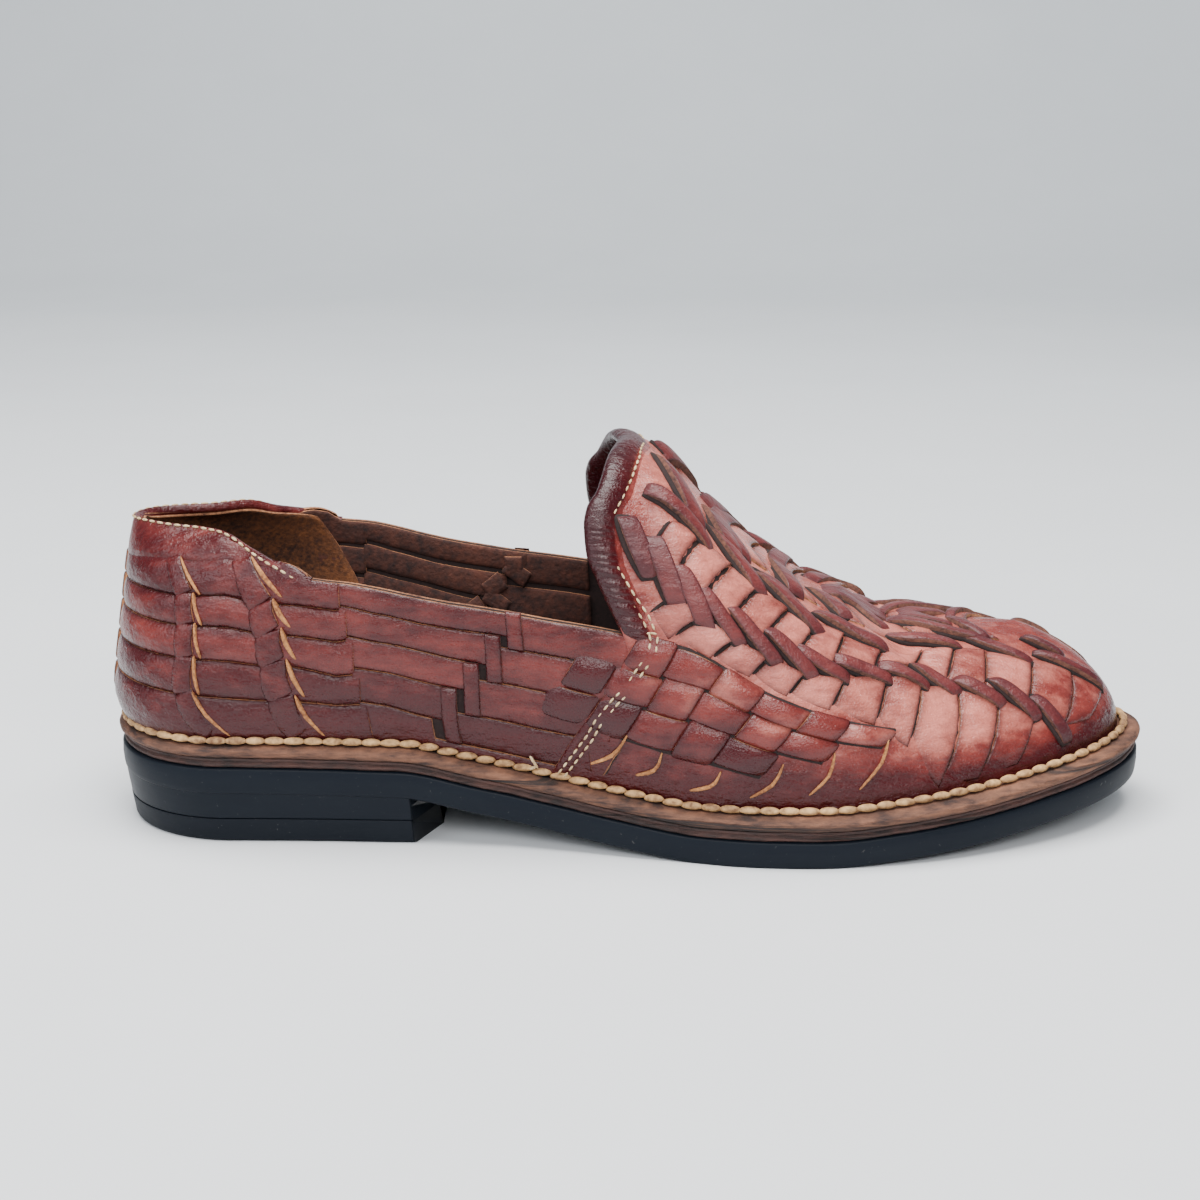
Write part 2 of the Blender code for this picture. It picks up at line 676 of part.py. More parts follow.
def make_layer(name, material, bottom, top, bottom_inset, top_inset, whole=True):
    """A solid layer of the sole between two heights, with its own edge at each of them."""
    shares = stations() if whole else stations()[:REAR_STATIONS + 1]
    bm = bmesh.new()
    loops = []
    for height_at, inset in ((bottom, bottom_inset), (top, top_inset)):
        loops.append([bm.verts.new(point) for point in edge_loop(inset, height_at, shares, whole)])
    bridge(bm, loops[0], loops[1])
    for loop in loops:
        cap(bm, loop)
    return finish(bm, name, material)


def make_welt(material):
    """The strip around the upper's foot, open in the middle where the insole lies."""
    bm = bmesh.new()
    loops = []
    for height_at, inset in ((welt_bottom, welt_inset), (feather_height, welt_inset),
                             (feather_height, welt_inner), (welt_bottom, welt_inner)):
        loops.append([bm.verts.new(point) for point in edge_loop(inset, height_at, stations(), True)])
    for first, second in zip(loops, loops[1:] + loops[:1]):
        bridge(bm, first, second)
    return finish(bm, "welt", material)


def outsole_top(x):
    return tread_height(x) + OUTSOLE_THICKNESS - FIT


def midsole_bottom(x):
    return tread_height(x) + OUTSOLE_THICKNESS


def midsole_top(x):
    return midsole_bottom(x) + MIDSOLE_THICKNESS - FIT


def welt_bottom(x):
    return midsole_bottom(x) + MIDSOLE_THICKNESS


def insole_top(x):
    return welt_bottom(x) + INSOLE_THICKNESS


def heel_top(x):
    return tread_height(x) - FIT


def heel_bottom(x):
    return TOP_LIFT_THICKNESS + FIT


def lift_top(x):
    return TOP_LIFT_THICKNESS


def floor(x):
    return 0.0


def welt_inset(share):
    return 0.0


def welt_inner(share):
    """Inner edge of the welt, under the upper's wall."""
    return flange(share) + WALL + FIT


def insole_inset(share):
    """Edge of the insole, inside the welt and the upper's wall."""
    return welt_inner(share) + 2 * FIT


def heel_inset(height):
    """The heel's side leans in towards the floor."""
    return OUTSOLE_STEP + HEEL_TAPER * (1 - height / HEEL_HEIGHT)


def make_material(name, colour, roughness):
    material = bpy.data.materials.new(name)
    material.use_nodes = True
    shader = material.node_tree.nodes["Principled BSDF"]
    shader.inputs["Base Color"].default_value = (*colour, 1.0)
    shader.inputs["Roughness"].default_value = roughness
    shader.inputs["Metallic"].default_value = 0.0
    material.diffuse_color = (*colour, 1.0)
    return material


def build():
    for obj in list(bpy.data.objects):
        bpy.data.objects.remove(obj)
    rubber = make_material("black_rubber", (0.008, 0.011, 0.018), 0.55)
    lift = make_material("top_lift_rubber", (0.006, 0.008, 0.014), 0.6)
    stack = make_material("heel_black", (0.009, 0.012, 0.020), 0.45)
    midsole = make_material("midsole_leather", (0.060, 0.028, 0.022), 0.7)
    welt = make_material("welt_leather", (0.220, 0.095, 0.045), 0.75)
    suede = make_material("insole_leather", (0.240, 0.110, 0.045), 0.85)
    leather = make_material("upper_leather", (0.230, 0.052, 0.043), 0.45)
    make_layer("top_lift", lift, floor, lift_top, lambda share: heel_inset(0.0),
               lambda share: heel_inset(TOP_LIFT_THICKNESS), False)
    make_layer("heel_stack", stack, heel_bottom, heel_top, lambda share: heel_inset(TOP_LIFT_THICKNESS),
               lambda share: heel_inset(HEEL_HEIGHT), False)
    make_layer("outsole", rubber, tread_height, outsole_top, lambda share: 2 * OUTSOLE_STEP,
               lambda share: OUTSOLE_STEP)
    make_layer("midsole", midsole, midsole_bottom, midsole_top, lambda share: MIDSOLE_STEP,
               lambda share: MIDSOLE_STEP)
    make_welt(welt)
    make_layer("insole", suede, welt_bottom, insole_top, insole_inset, insole_inset)
    make_upper(leather)


build()
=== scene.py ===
# %% [markdown]
# # A woven leather slip-on shoe
# We dress a finished CAD model of a right shoe so that it looks like worn, burnished leather.
# The CAD gives the places and the sizes. Here we add the looks: a smooth last, strips of leather
# laid on it one by one, stitches, a stitched welt, a rubber sole, and soft studio light.

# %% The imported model
import math
import bmesh
import bpy
import numpy as np
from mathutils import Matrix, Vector


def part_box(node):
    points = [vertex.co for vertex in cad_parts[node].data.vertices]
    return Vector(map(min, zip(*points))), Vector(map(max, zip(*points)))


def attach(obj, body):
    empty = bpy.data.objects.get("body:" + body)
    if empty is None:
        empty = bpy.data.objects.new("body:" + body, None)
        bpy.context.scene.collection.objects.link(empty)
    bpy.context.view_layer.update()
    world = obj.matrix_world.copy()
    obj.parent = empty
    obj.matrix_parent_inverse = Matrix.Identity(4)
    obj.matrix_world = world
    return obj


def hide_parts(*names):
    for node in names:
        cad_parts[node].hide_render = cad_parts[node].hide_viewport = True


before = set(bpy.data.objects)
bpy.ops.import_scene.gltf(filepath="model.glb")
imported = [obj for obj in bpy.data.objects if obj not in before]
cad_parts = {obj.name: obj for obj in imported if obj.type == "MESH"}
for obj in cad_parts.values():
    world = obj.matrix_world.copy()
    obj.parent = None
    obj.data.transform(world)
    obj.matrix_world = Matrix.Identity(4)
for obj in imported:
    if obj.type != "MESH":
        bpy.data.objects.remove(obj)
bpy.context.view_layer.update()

# %% [markdown]
# ## The camera
# A real camera stood about 60 cm from the shoe and looked a little down at its outer side. A lens
# of 64 mm on a 36 mm frame gives the same perspective, so near and far edges line up.

# %% Camera
CAMERA_PLACE = (0.1016, -0.600, 0.2202)
CAMERA_TILT_DOWN = math.radians(14.75)
CAMERA_LENS = 64.0
SENSOR_WIDTH = 36.0

camera_data = bpy.data.cameras.new("camera")
camera_data.lens = CAMERA_LENS
camera_data.sensor_width = SENSOR_WIDTH
camera = bpy.data.objects.new("camera", camera_data)
camera.location = CAMERA_PLACE
camera.rotation_euler = (math.pi / 2 - CAMERA_TILT_DOWN, 0.0, 0.0)
bpy.context.scene.collection.objects.link(camera)
bpy.context.scene.camera = camera
print("camera looks down by", round(math.degrees(CAMERA_TILT_DOWN), 1), "degrees")

# %% [markdown]
# ## The last
# A shoe is built on a last, a solid form of the foot. Every strip follows it, so one function
# gives a point of its surface from two shares: along the shoe, and around its girth from the
# feather line, where upper meets welt, to the ridge. The tables hold shares of the sizes below.

# %% Sizes of the shoe
welt_low, welt_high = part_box("welt")
REAR = welt_low.x
SOLE_LENGTH = welt_high.x - welt_low.x
BALL_WIDTH = 0.1045
HEEL_WIDTH = 0.0720
HEEL_LENGTH = 0.0870
HEEL_HEIGHT = 0.0155
TOE_SPRING = 0.0105
OUTSOLE_THICKNESS = 0.0077
MIDSOLE_THICKNESS = 0.0030
WELT_THICKNESS = 0.0035
HEEL_CUP_HEIGHT = 0.0590
INSTEP_HEIGHT = 0.0960
TOE_BOX_HEIGHT = 0.0365
TOE_LEAN = 0.0310
HEEL_LEAN = 0.0078
MEDIAL_LIFT = 0.0018
FOREPART_FLANGE = 0.0065
HEEL_FLANGE = 0.0035
FIT = 0.0003
print("the sole is", round(SOLE_LENGTH * 1000, 1), "mm long")

# %% Tables of the sole and the last
# Share of the length, shift of the centre line, half width by the heel and by the ball
PLAN = (
    (0.00, 0.000, 0.50, 0.000), (0.11, 0.000, 0.50, 0.000), (0.20, -0.004, 0.50, 0.000),
    (0.28, -0.020, 0.49, 0.000), (0.37, -0.036, 0.40, 0.062), (0.43, -0.044, 0.25, 0.186),
    (0.50, -0.048, 0.10, 0.331), (0.57, -0.044, 0.00, 0.450), (0.63, -0.034, 0.00, 0.487),
    (0.68, -0.022, 0.00, 0.500), (0.75, -0.004, 0.00, 0.500), (0.82, 0.018, 0.00, 0.500),
    (0.90, 0.042, 0.00, 0.500), (1.00, 0.060, 0.00, 0.500),
)
HEEL_ROUND = 0.113
TOE_ROUND = 0.683
TOE_POWER = 1.95
# Share of the length, share of the heel height, share of the toe spring
TREAD = (
    (0.00, 1.00, 0.00), (0.28, 0.92, 0.00), (0.35, 0.66, 0.00), (0.43, 0.37, 0.00), (0.50, 0.14, 0.00),
    (0.56, 0.00, 0.00), (0.68, 0.00, 0.00), (0.74, 0.00, 0.12), (0.80, 0.00, 0.27), (0.90, 0.00, 0.63),
    (1.00, 0.00, 1.00),
)
# Share along, top by heel cup, instep and toe box, roundness, bulge, shift of the ridge
SECTIONS = (
    (0.00, 1.00, 0.00, 0.00, 0.50, 0.03, 0.00), (0.07, 0.99, 0.00, 0.00, 0.47, 0.05, 0.00),
    (0.13, 1.02, 0.00, 0.00, 0.40, 0.10, 0.00), (0.19, 0.60, 0.36, 0.00, 0.28, 0.22, 0.00),
    (0.25, 0.20, 0.71, 0.00, 0.22, 0.25, -0.01), (0.33, 0.00, 0.92, 0.00, 0.22, 0.25, -0.02),
    (0.42, 0.00, 0.97, 0.00, 0.34, 0.24, -0.01), (0.50, 0.00, 1.00, 0.00, 0.58, 0.14, 0.00),
    (0.56, 0.00, 0.99, 0.00, 0.68, 0.08, 0.02), (0.63, 0.00, 0.80, 0.00, 0.72, 0.05, 0.03),
    (0.71, 0.00, 0.49, 0.31, 0.74, 0.03, 0.04), (0.77, 0.00, 0.22, 0.72, 0.74, 0.02, 0.05),
    (0.80, 0.00, 0.09, 0.97, 0.72, 0.02, 0.05), (0.85, 0.00, 0.00, 0.99, 0.70, 0.02, 0.06),
    (0.92, 0.00, 0.00, 0.87, 0.75, 0.02, 0.06), (1.00, 0.00, 0.00, 0.80, 0.85, 0.00, 0.05),
)
TOE_CURL = 1.7
# Share of the heel cup's height, share of the heel's lean
HEEL_BACK = (
    (0.00, 0.27), (0.15, 0.00), (0.25, 0.08), (0.41, 0.26), (0.56, 0.44), (0.72, 0.62), (1.00, 1.00),
)
print(len(SECTIONS), "sections shape the last")


# %% Reading a table smoothly
def column(table, places, index):
    """One column of a table at many places, on a curve that never overshoots."""
    rows = np.array(table)
    x = rows[:, 0]
    y = rows[:, index]
    slope = np.diff(y) / np.diff(x)
    same_way = slope[:-1] * slope[1:] > 0
    total = np.where(same_way, slope[:-1] + slope[1:], 1.0)
    inner = np.where(same_way, 2 * slope[:-1] * slope[1:] / total, 0.0)
    tangent = np.concatenate((slope[:1], inner, slope[-1:]))
    places = np.clip(places, x[0], x[-1])
    k = np.clip(np.searchsorted(x, places, side="right") - 1, 0, len(x) - 2)
    width = x[k + 1] - x[k]
    t = (places - x[k]) / width
    return ((1 + 2 * t) * (1 - t) ** 2 * y[k] + t * (1 - t) ** 2 * width * tangent[k]
            + t * t * (3 - 2 * t) * y[k + 1] + t * t * (t - 1) * width * tangent[k + 1])


def read(table, place, index=1):
    """The same for one place, as a plain number."""
    return float(column(table, place, index))


print("half way along, the sole's centre shifts by", round(read(PLAN, 0.5) * BALL_WIDTH * 1000, 1), "mm")


# %% The sole's outline
def full_half_width(share):
    return column(PLAN, share, 2) * HEEL_WIDTH + column(PLAN, share, 3) * BALL_WIDTH


def half_width(share):
    """Half the sole's width, with its round heel and toe."""
    behind = np.clip(1 - share / HEEL_ROUND, 0, 1)
    past = np.clip((share - TOE_ROUND) / (1 - TOE_ROUND), 0, 1)
    return full_half_width(share) * np.sqrt(1 - behind ** 2) * (1 - past ** TOE_POWER) ** (1 / TOE_POWER)


def sole_edge(share, side, inset):
    """Points in plan on the outline, moved inward."""
    x = REAR + inset + share * (SOLE_LENGTH - 2 * inset)
    width = half_width(share) * (1 - inset / full_half_width(share))
    return x, column(PLAN, share, 1) * BALL_WIDTH + side * width


print("the ball is", round(float(half_width(np.array(0.69))) * 2000, 1), "mm wide")


# %% Heights of the sole's layers
def tread_height(x):
    share = (x - REAR) / SOLE_LENGTH
    return column(TREAD, share, 1) * HEEL_HEIGHT + column(TREAD, share, 2) * TOE_SPRING


def feather_height(x):
    return tread_height(x) + OUTSOLE_THICKNESS + MIDSOLE_THICKNESS + WELT_THICKNESS


def flange(share):
    return HEEL_FLANGE + (FOREPART_FLANGE - HEEL_FLANGE) * np.clip((share - 0.1) / 0.3, 0, 1)


print("the upper stands", round(float(feather_height(0.15)) * 1000, 1), "mm up at the ball")


# %% A point of the last
def last_point(along, girth, side):
    """The closed arch from the feather line over the ridge. side is -1 outside and +1 inside."""
    angle = girth * math.pi / 2
    across = np.clip(np.cos(angle), 0, 1)
    rise = np.sin(angle)
    top = (column(SECTIONS, along, 1) * HEEL_CUP_HEIGHT + column(SECTIONS, along, 2) * INSTEP_HEIGHT
           + column(SECTIONS, along, 3) * TOE_BOX_HEIGHT)
    foot_x, foot_y = sole_edge(along, side, flange(along))
    rear = REAR + column(HEEL_BACK, rise, 1) * HEEL_LEAN
    front = REAR + SOLE_LENGTH - FOREPART_FLANGE - TOE_LEAN * (1 - across ** TOE_CURL)
    bulge = 1 + column(SECTIONS, along, 5) * np.sin(2 * angle)
    spread = across ** column(SECTIONS, along, 4) * bulge
    centre = column(PLAN, along, 1) * BALL_WIDTH
    y = centre + rise * column(SECTIONS, along, 6) * BALL_WIDTH + spread * (foot_y - centre)
    lift = np.where(side > 0, MEDIAL_LIFT * np.sin(2 * angle) * np.sin(math.pi * along), 0.0)
    z = feather_height(foot_x) + FIT + top * rise + lift
    return np.stack((rear + along * (front - rear), y, z), -1)


middle_of_ridge = last_point(np.array(0.5), np.array(1.0), np.array(-1.0))
print("the ridge half way along is at", middle_of_ridge.round(4).tolist())

# %% [markdown]
# ## A flat map of the leather
# A shoemaker cuts strips flat and bends them over the last. We do the same: each strip is modelled
# flat, with X along the shoe, Y around the girth and Z as its height above the last. Then
# lay_on_last bends it. Past the ridge, the heel's back or the toe's tip, the map folds over to
# the other side of the foot, so a strip can cross there without a seam.

# %% The map and the bend
# The lining's face lies inside the last's outer skin by this much
LINING_DEPTH = 0.0015
MAP_LENGTH = 1.2 * SOLE_LENGTH
MAP_GIRTH = 1.04 * INSTEP_HEIGHT


def to_map(along, girth):
    """A place on the last as a point of the flat map."""
    turn = np.arccos(np.clip(1 - 2 * np.abs(along), -1, 1)) / math.pi
    return np.stack((np.sign(along) * turn * MAP_LENGTH, np.asarray(girth) * MAP_GIRTH + 0 * turn), -1)


def along_of(u):
    """The share of the length at a place of the map."""
    return (1 - np.cos(math.pi * np.clip(np.abs(u) / MAP_LENGTH, 0, 1))) / 2


def girth_of(v):
    """The share of the girth at a place of the map, folded over the ridge."""
    return 1 - np.abs(1 - v / MAP_GIRTH)


def surface(u, v):
    """Points of the last under points of the map, folded over at its seams."""
    side = np.where(u < 0, 1.0, -1.0)
    u = np.abs(u)
    side = np.where(u > MAP_LENGTH, -side, side)
    u = np.where(u > MAP_LENGTH, 2 * MAP_LENGTH - u, u)
    side = np.where(v > MAP_GIRTH, -side, side)
    v = np.where(v > MAP_GIRTH, 2 * MAP_GIRTH - v, v)
    return last_point(along_of(u), v / MAP_GIRTH, side)


def bend(u, v, height):
    """Points at a height above the lining."""
    du = 0.0012
    dv = 0.0010
    low = np.clip(v, dv, None)
    ahead = surface(u + du, v) - surface(u - du, v)
    up = surface(u, low + dv) - surface(u, low - dv)
    outward = np.cross(ahead, up)
    outward /= np.maximum(np.linalg.norm(outward, axis=-1, keepdims=True), 1e-12)
    return surface(u, v) + outward * (np.asarray(height) - LINING_DEPTH)[..., None]


test = bend(np.array([0.5 * MAP_LENGTH]), np.array([0.2 * MAP_GIRTH]), np.array([0.0]))
print("half way along and low on the side:", test.round(4).tolist())


# %% Laying a flat model on the last
def start_flat():
    """A flat model with the two attributes that the leather's material reads."""
    bm = bmesh.new()
    bm.verts.layers.float.new("tone")
    bm.verts.layers.float.new("edge")
    return bm


def leather_tone(along, girth):
    """Dark plum by the welt, red-brown behind and salmon on the forepart. The darkening low by the welt is
    partly dye and partly painted shade.
    """
    # Darker low on the wall by the welt: partly dye, partly painted shade
    foot = np.clip(girth / 0.26, 0, 1)
    foot = foot * foot * (3 - 2 * foot)
    front = np.clip((along - 0.47) / 0.10, 0, 1)
    toe = np.clip((along - 0.86) / 0.14, 0, 1)
    behind = 0.20 + 0.22 * foot + 0.06 * np.clip((along - 0.2) / 0.2, 0, 1)
    return behind * (1 - front) + front * (0.22 + 0.66 * foot - 0.22 * toe)


def lay_on_last(bm):
    """Bends a flat model onto the last. X and Y are map places and Z is the height."""
    tone = bm.verts.layers.float["tone"]
    flat = np.array([vertex.co for vertex in bm.verts])
    tones = leather_tone(along_of(flat[:, 0]), girth_of(flat[:, 1]))
    for vertex, point, value in zip(bm.verts, bend(flat[:, 0], flat[:, 1], flat[:, 2]), tones):
        vertex.co = point
        vertex[tone] += value


def make_piece(bm, name, materials):
    """Turns a bmesh into a named piece that rides on the shoe."""
    mesh = bpy.data.meshes.new(name)
    bm.to_mesh(mesh)
    bm.free()
    for material in materials:
        mesh.materials.append(material)
    mesh.shade_smooth()
    piece = bpy.data.objects.new(name, mesh)
    bpy.context.scene.collection.objects.link(piece)
    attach(piece, "root")
    print(name, "has", len(mesh.polygons), "faces")
    return piece


def lay_piece(bm, name, *materials):
    """Bends a flat model onto the last and makes a leather piece of it."""
    lay_on_last(bm)
    return make_piece(bm, name, materials)


def add_wall(piece, thickness):
    """Gives a sheet its thickness. The second material is its back and the third its rim."""
    wall = piece.modifiers.new("wall", "SOLIDIFY")
    wall.thickness = thickness
    wall.offset = -1.0
    wall.material_offset = 1
    wall.material_offset_rim = 2


print("the flat map is", round(MAP_LENGTH * 1000), "by", round(MAP_GIRTH * 1000), "mm")

# %% [markdown]
# ## Materials
# The shoe has smooth dyed leather with a fine grain, raw cut edges in tan, suede on the inside, waxed cream
# thread, and black rubber. All are made of noise in the shoe's own coordinates, so they stay put when the
# camera moves. Two attributes say how dark the leather is, from dye and from painted shade low by the welt,
# and where an edge lies, which is darkened partly by wear and partly as painted shade. Near-black sheets in
# the slits, in the gaps and under the narrow strips are painted shade.


# %% Helpers for materials
def start_material(name):
    material = bpy.data.materials.new(name)
    material.use_nodes = True
    return material, material.node_tree, material.node_tree.nodes["Principled BSDF"]


def connect(tree, node, inputs):
    """Gives a node its inputs, which are values, or sockets to link."""
    for socket, value in inputs.items():
        if isinstance(value, bpy.types.NodeSocket):
            tree.links.new(value, node.inputs[socket])
        else:
            node.inputs[socket].default_value = value


def add(tree, kind, inputs, **settings):
    """Adds a node with its settings and inputs."""
    node = tree.nodes.new(kind)
    for key, value in settings.items():
        setattr(node, key, value)
    connect(tree, node, inputs)
    return node


def noise(tree, scale, stretch=(1, 1, 1), detail=3.0):
    """Noise on the shoe's own coordinates. Scale is in features per metre."""
    place = add(tree, "ShaderNodeTexCoord", {}).outputs["Object"]
    mapping = add(tree, "ShaderNodeMapping", {"Vector": place, "Scale": stretch})
    inputs = {"Vector": mapping.outputs[0], "Scale": scale, "Detail": detail, "Roughness": 0.6}
    return add(tree, "ShaderNodeTexNoise", inputs).outputs["Fac"]


def calculate(tree, operation, first, second=0.0, clamp=False):
    node = add(tree, "ShaderNodeMath", {0: first, 1: second}, operation=operation, use_clamp=clamp)
    return node.outputs[0]


def scaled(tree, value, factor, offset=0.0):
    """A value times a factor, plus an offset."""
    inputs = {0: value, 1: factor, 2: offset}
    return add(tree, "ShaderNodeMath", inputs, operation="MULTIPLY_ADD").outputs[0]


def ramp(tree, value, stops):
    """Colours along a value from 0 to 1."""
    node = add(tree, "ShaderNodeValToRGB", {0: value})
    elements = node.color_ramp.elements
    while len(elements) < len(stops):
        elements.new(0.5)
    for element, (place, colour) in zip(elements, stops):
        element.position = place
        element.color = (*colour, 1.0)
    return node.outputs[0]


def blend_colours(tree, share, first, second, way="MIX"):
    node = add(tree, "ShaderNodeMix", {0: share, 6: first, 7: second}, data_type="RGBA", blend_type=way)
    return node.outputs[2]


def bump(tree, height, depth, under=None):
    """Bump of a real depth in metres."""
    inputs = {"Height": height, "Distance": depth, "Strength": 1.0}
    if under is not None:
        inputs["Normal"] = under
    return add(tree, "ShaderNodeBump", inputs).outputs[0]


def attribute(tree, name):
    return add(tree, "ShaderNodeAttribute", {}, attribute_name=name).outputs["Fac"]


print("material helpers are ready")


# %% [markdown]
# ## Dyed leather
# Calf leather takes dye unevenly, and hands polish it where it stands proud. So its colour runs through one
# ramp from plum to salmon, led by the tone attribute and a cloudy noise. The tone's darkening low by the
# welt is partly dye and partly painted shade, and the darkened border of each strip is partly wear and
# partly painted shade. Pores, fine creases and soft waves are three bumps of different sizes.

# %% Leather
PLUM = (0.028, 0.0015, 0.0035)
OXBLOOD = (0.056, 0.0032, 0.0042)
RUSSET = (0.195, 0.032, 0.026)
SALMON = (0.640, 0.200, 0.150)
# Dark colour of strip borders and rims: partly wear, partly painted shade where the strips round down
WORN_AND_SHADED_EDGE = (0.028, 0.004, 0.006, 1.0)
PORE = (0.030, 0.008, 0.010, 1.0)
MAUVE = (0.085, 0.026, 0.032, 1.0)


def leather(name, shift=0.0, mauve=0.0, gloss=0.27, crease=0.00060, wave=0.0012):
    """Shift moves the tone, gloss is the roughness, and crease and wave are depths in metres."""
    material, tree, shader = start_material(name)
    cloud = scaled(tree, noise(tree, 60, detail=6.0), 0.62, shift - 0.31)
    streaks = scaled(tree, noise(tree, 240, stretch=(0.4, 1.2, 1.2), detail=5.0), 0.50, -0.25)
    cloud = calculate(tree, "ADD", cloud, streaks)
    tone = calculate(tree, "ADD", attribute(tree, "tone"), cloud, clamp=True)
    colour = ramp(tree, tone, ((0.0, PLUM), (0.36, OXBLOOD), (0.68, RUSSET), (1.0, SALMON)))
    pores = noise(tree, 1500, detail=1.0)
    # The edge attribute darkens borders and rims: partly wear, partly painted shade
    colour = blend_colours(tree, scaled(tree, attribute(tree, "edge"), 0.82), colour, WORN_AND_SHADED_EDGE)
    colour = blend_colours(tree, scaled(tree, pores, 0.28), colour, PORE)
    colour = blend_colours(tree, mauve, colour, MAUVE)
    fine = bump(tree, pores, 0.00018)
    creases = bump(tree, noise(tree, 420, stretch=(0.35, 1.0, 1.0), detail=4.0), crease, fine)
    waves = bump(tree, noise(tree, 110, stretch=(0.6, 1.0, 1.0), detail=3.0), wave, creases)
    connect(tree, shader, {
        "Base Color": colour, "Roughness": scaled(tree, noise(tree, 160), 0.30, gloss - 0.15),
        "Normal": waves, "Specular IOR Level": 0.34, "Coat Weight": 0.03, "Coat Roughness": 0.22,
    })
    return material


smooth_leather = leather("upper_smooth_leather")
band_leather = leather("upper_band_leather", shift=0.03)
strip_leather = leather("upper_narrow_strip_leather", shift=-0.24, mauve=0.30, gloss=0.38)
basket_leather = leather("upper_basket_leather", shift=-0.06, mauve=0.04, gloss=0.24,
                         crease=0.00022, wave=0.0003)
print("four dyed leathers")


# %% Raw edges, suede, shadowed leather and thread
def fuzzy(name, dark, light, scale, depth, rough=0.9, sheen=0.0):
    """A nap of short fibres: two noises for colour and one for height."""
    material, tree, shader = start_material(name)
    mix = calculate(tree, "ADD", scaled(tree, noise(tree, scale, detail=5.0), 0.6),
                    scaled(tree, noise(tree, scale / 9, detail=3.0), 0.4))
    connect(tree, shader, {
        "Base Color": ramp(tree, mix, ((0.36, dark), (0.64, light))), "Roughness": rough,
        "Normal": bump(tree, noise(tree, scale * 1.7, detail=4.0), depth), "Sheen Weight": sheen,
    })
    return material


STRIP_EDGE_DARK = (0.022, 0.006, 0.005)
strip_edge = fuzzy("upper_strip_edge", STRIP_EDGE_DARK, (0.16, 0.058, 0.036), 1100, 0.0002)
raw_edge = fuzzy("upper_raw_edge", (0.07, 0.020, 0.010), (0.42, 0.18, 0.080), 1100, 0.00030)
tan_edge = fuzzy("upper_tan_edge", (0.14, 0.040, 0.014), (0.56, 0.25, 0.085), 1200, 0.00030)
# Near-black painted shade for slits, gaps and the wall between strips, and painted shadow under the narrow
# strips
painted_shade = fuzzy("upper_painted_gap_shade", (0.006, 0.002, 0.002), (0.020, 0.007, 0.006), 900, 0.00010)
suede = fuzzy("upper_suede", (0.018, 0.004, 0.0015), (0.150, 0.048, 0.012), 700, 0.0005)
back_suede = fuzzy("upper_back_suede", (0.012, 0.0025, 0.002), (0.070, 0.018, 0.009), 500, 0.0005)
dark_lining = fuzzy("upper_dark_lining", (0.008, 0.005, 0.006), (0.030, 0.018, 0.020), 700, 0.0002,
                    sheen=0.3)
footbed = fuzzy("insole_suede", (0.030, 0.009, 0.004), (0.120, 0.042, 0.014), 800, 0.0003)
thread = fuzzy("upper_cream_thread", (0.34, 0.21, 0.095), (0.76, 0.60, 0.36), 1800, 0.00015, 0.65)
bead_thread = fuzzy("welt_bead_thread", (0.13, 0.055, 0.020), (0.60, 0.36, 0.155), 620, 0.00025, 0.7)
print("edges, nap and thread are ready")


# %% [markdown]
# ## A strip of leather
# A strip is a flat grid with its border pushed down, which gives the cut edge. Rows of points
# crowd towards the border, so that the top rolls over softly and the middle stays crowned.

# %% Building one strip
PANEL_TOP = 0.0013
BAND_TOP = 0.0019
STRIP_TOP = 0.0034


def crowd(share):
    """Moves evenly spaced shares towards both ends."""
    return 0.5 - 0.5 * math.copysign(abs(1 - 2 * share) ** 0.55, 1 - 2 * share)


def pad(bm, place, height, base, across=8, along=8, shade=0.0, edge_wear_and_shade=(1.0, 0.8)):
    """Adds a strip. place and height take two shares, and the cut edges go down to base."""
    tone = bm.verts.layers.float["tone"]
    edge = bm.verts.layers.float["edge"]
    verts = bmesh.ops.create_grid(bm, x_segments=across, y_segments=along, size=0.5)["verts"]
    faces = dict.fromkeys(face for vertex in verts for face in vertex.link_faces)
    for vertex in verts:
        s = crowd(vertex.co.x + 0.5)
        t = crowd(vertex.co.y + 0.5)
        u, v = place(s, t)
        vertex.co = (u, v, height(s, t))
        vertex[tone] = shade
        # The edge attribute darkens the border of the strip: partly wear, partly painted shade
        vertex[edge] = max(edge_wear_and_shade[0] * abs(2 * s - 1) ** 4, edge_wear_and_shade[1] * abs(2 * t - 1) ** 4)
    top_face = next(iter(faces))
    rim = [e for e in dict.fromkeys(e for f in faces for e in f.edges) if len(e.link_faces) == 1]
    skirt = bmesh.ops.extrude_edge_only(bm, edges=rim)["geom"]
    for item in skirt:
        if isinstance(item, bmesh.types.BMVert):
            item.co.z = base
            item[tone] = shade
        if isinstance(item, bmesh.types.BMFace):
            item.material_index = 1
            faces[item] = None
    for face in faces:
        face.normal_update()
    if top_face.normal.z < 0:
        bmesh.ops.reverse_faces(bm, faces=list(faces))


def crowned(top, crown, ends=0.0, edge_drop=0.00022):
    """A height that swells in the middle, drops a little by the edges and more by both ends."""
    def height(s, t):
        side = abs(2 * s - 1)
        end = abs(2 * t - 1)
        rounded = edge_drop * max(side, end) ** 10
        return top + crown * (1 - side ** 2) * (1 - 0.5 * end ** 2) - rounded - ends * end ** 8
    return height


def pad_both(bm, place, *shape):
    """Adds the same strip on the outer side and on the inner side of the foot."""
    def inner_place(s, t):
        u, v = place(s, t)
        return -u, v
    pad(bm, place, *shape)
    pad(bm, inner_place, *shape)


print("a band stands", round((BAND_TOP - PANEL_TOP) * 1000, 2), "mm above the panel below it")

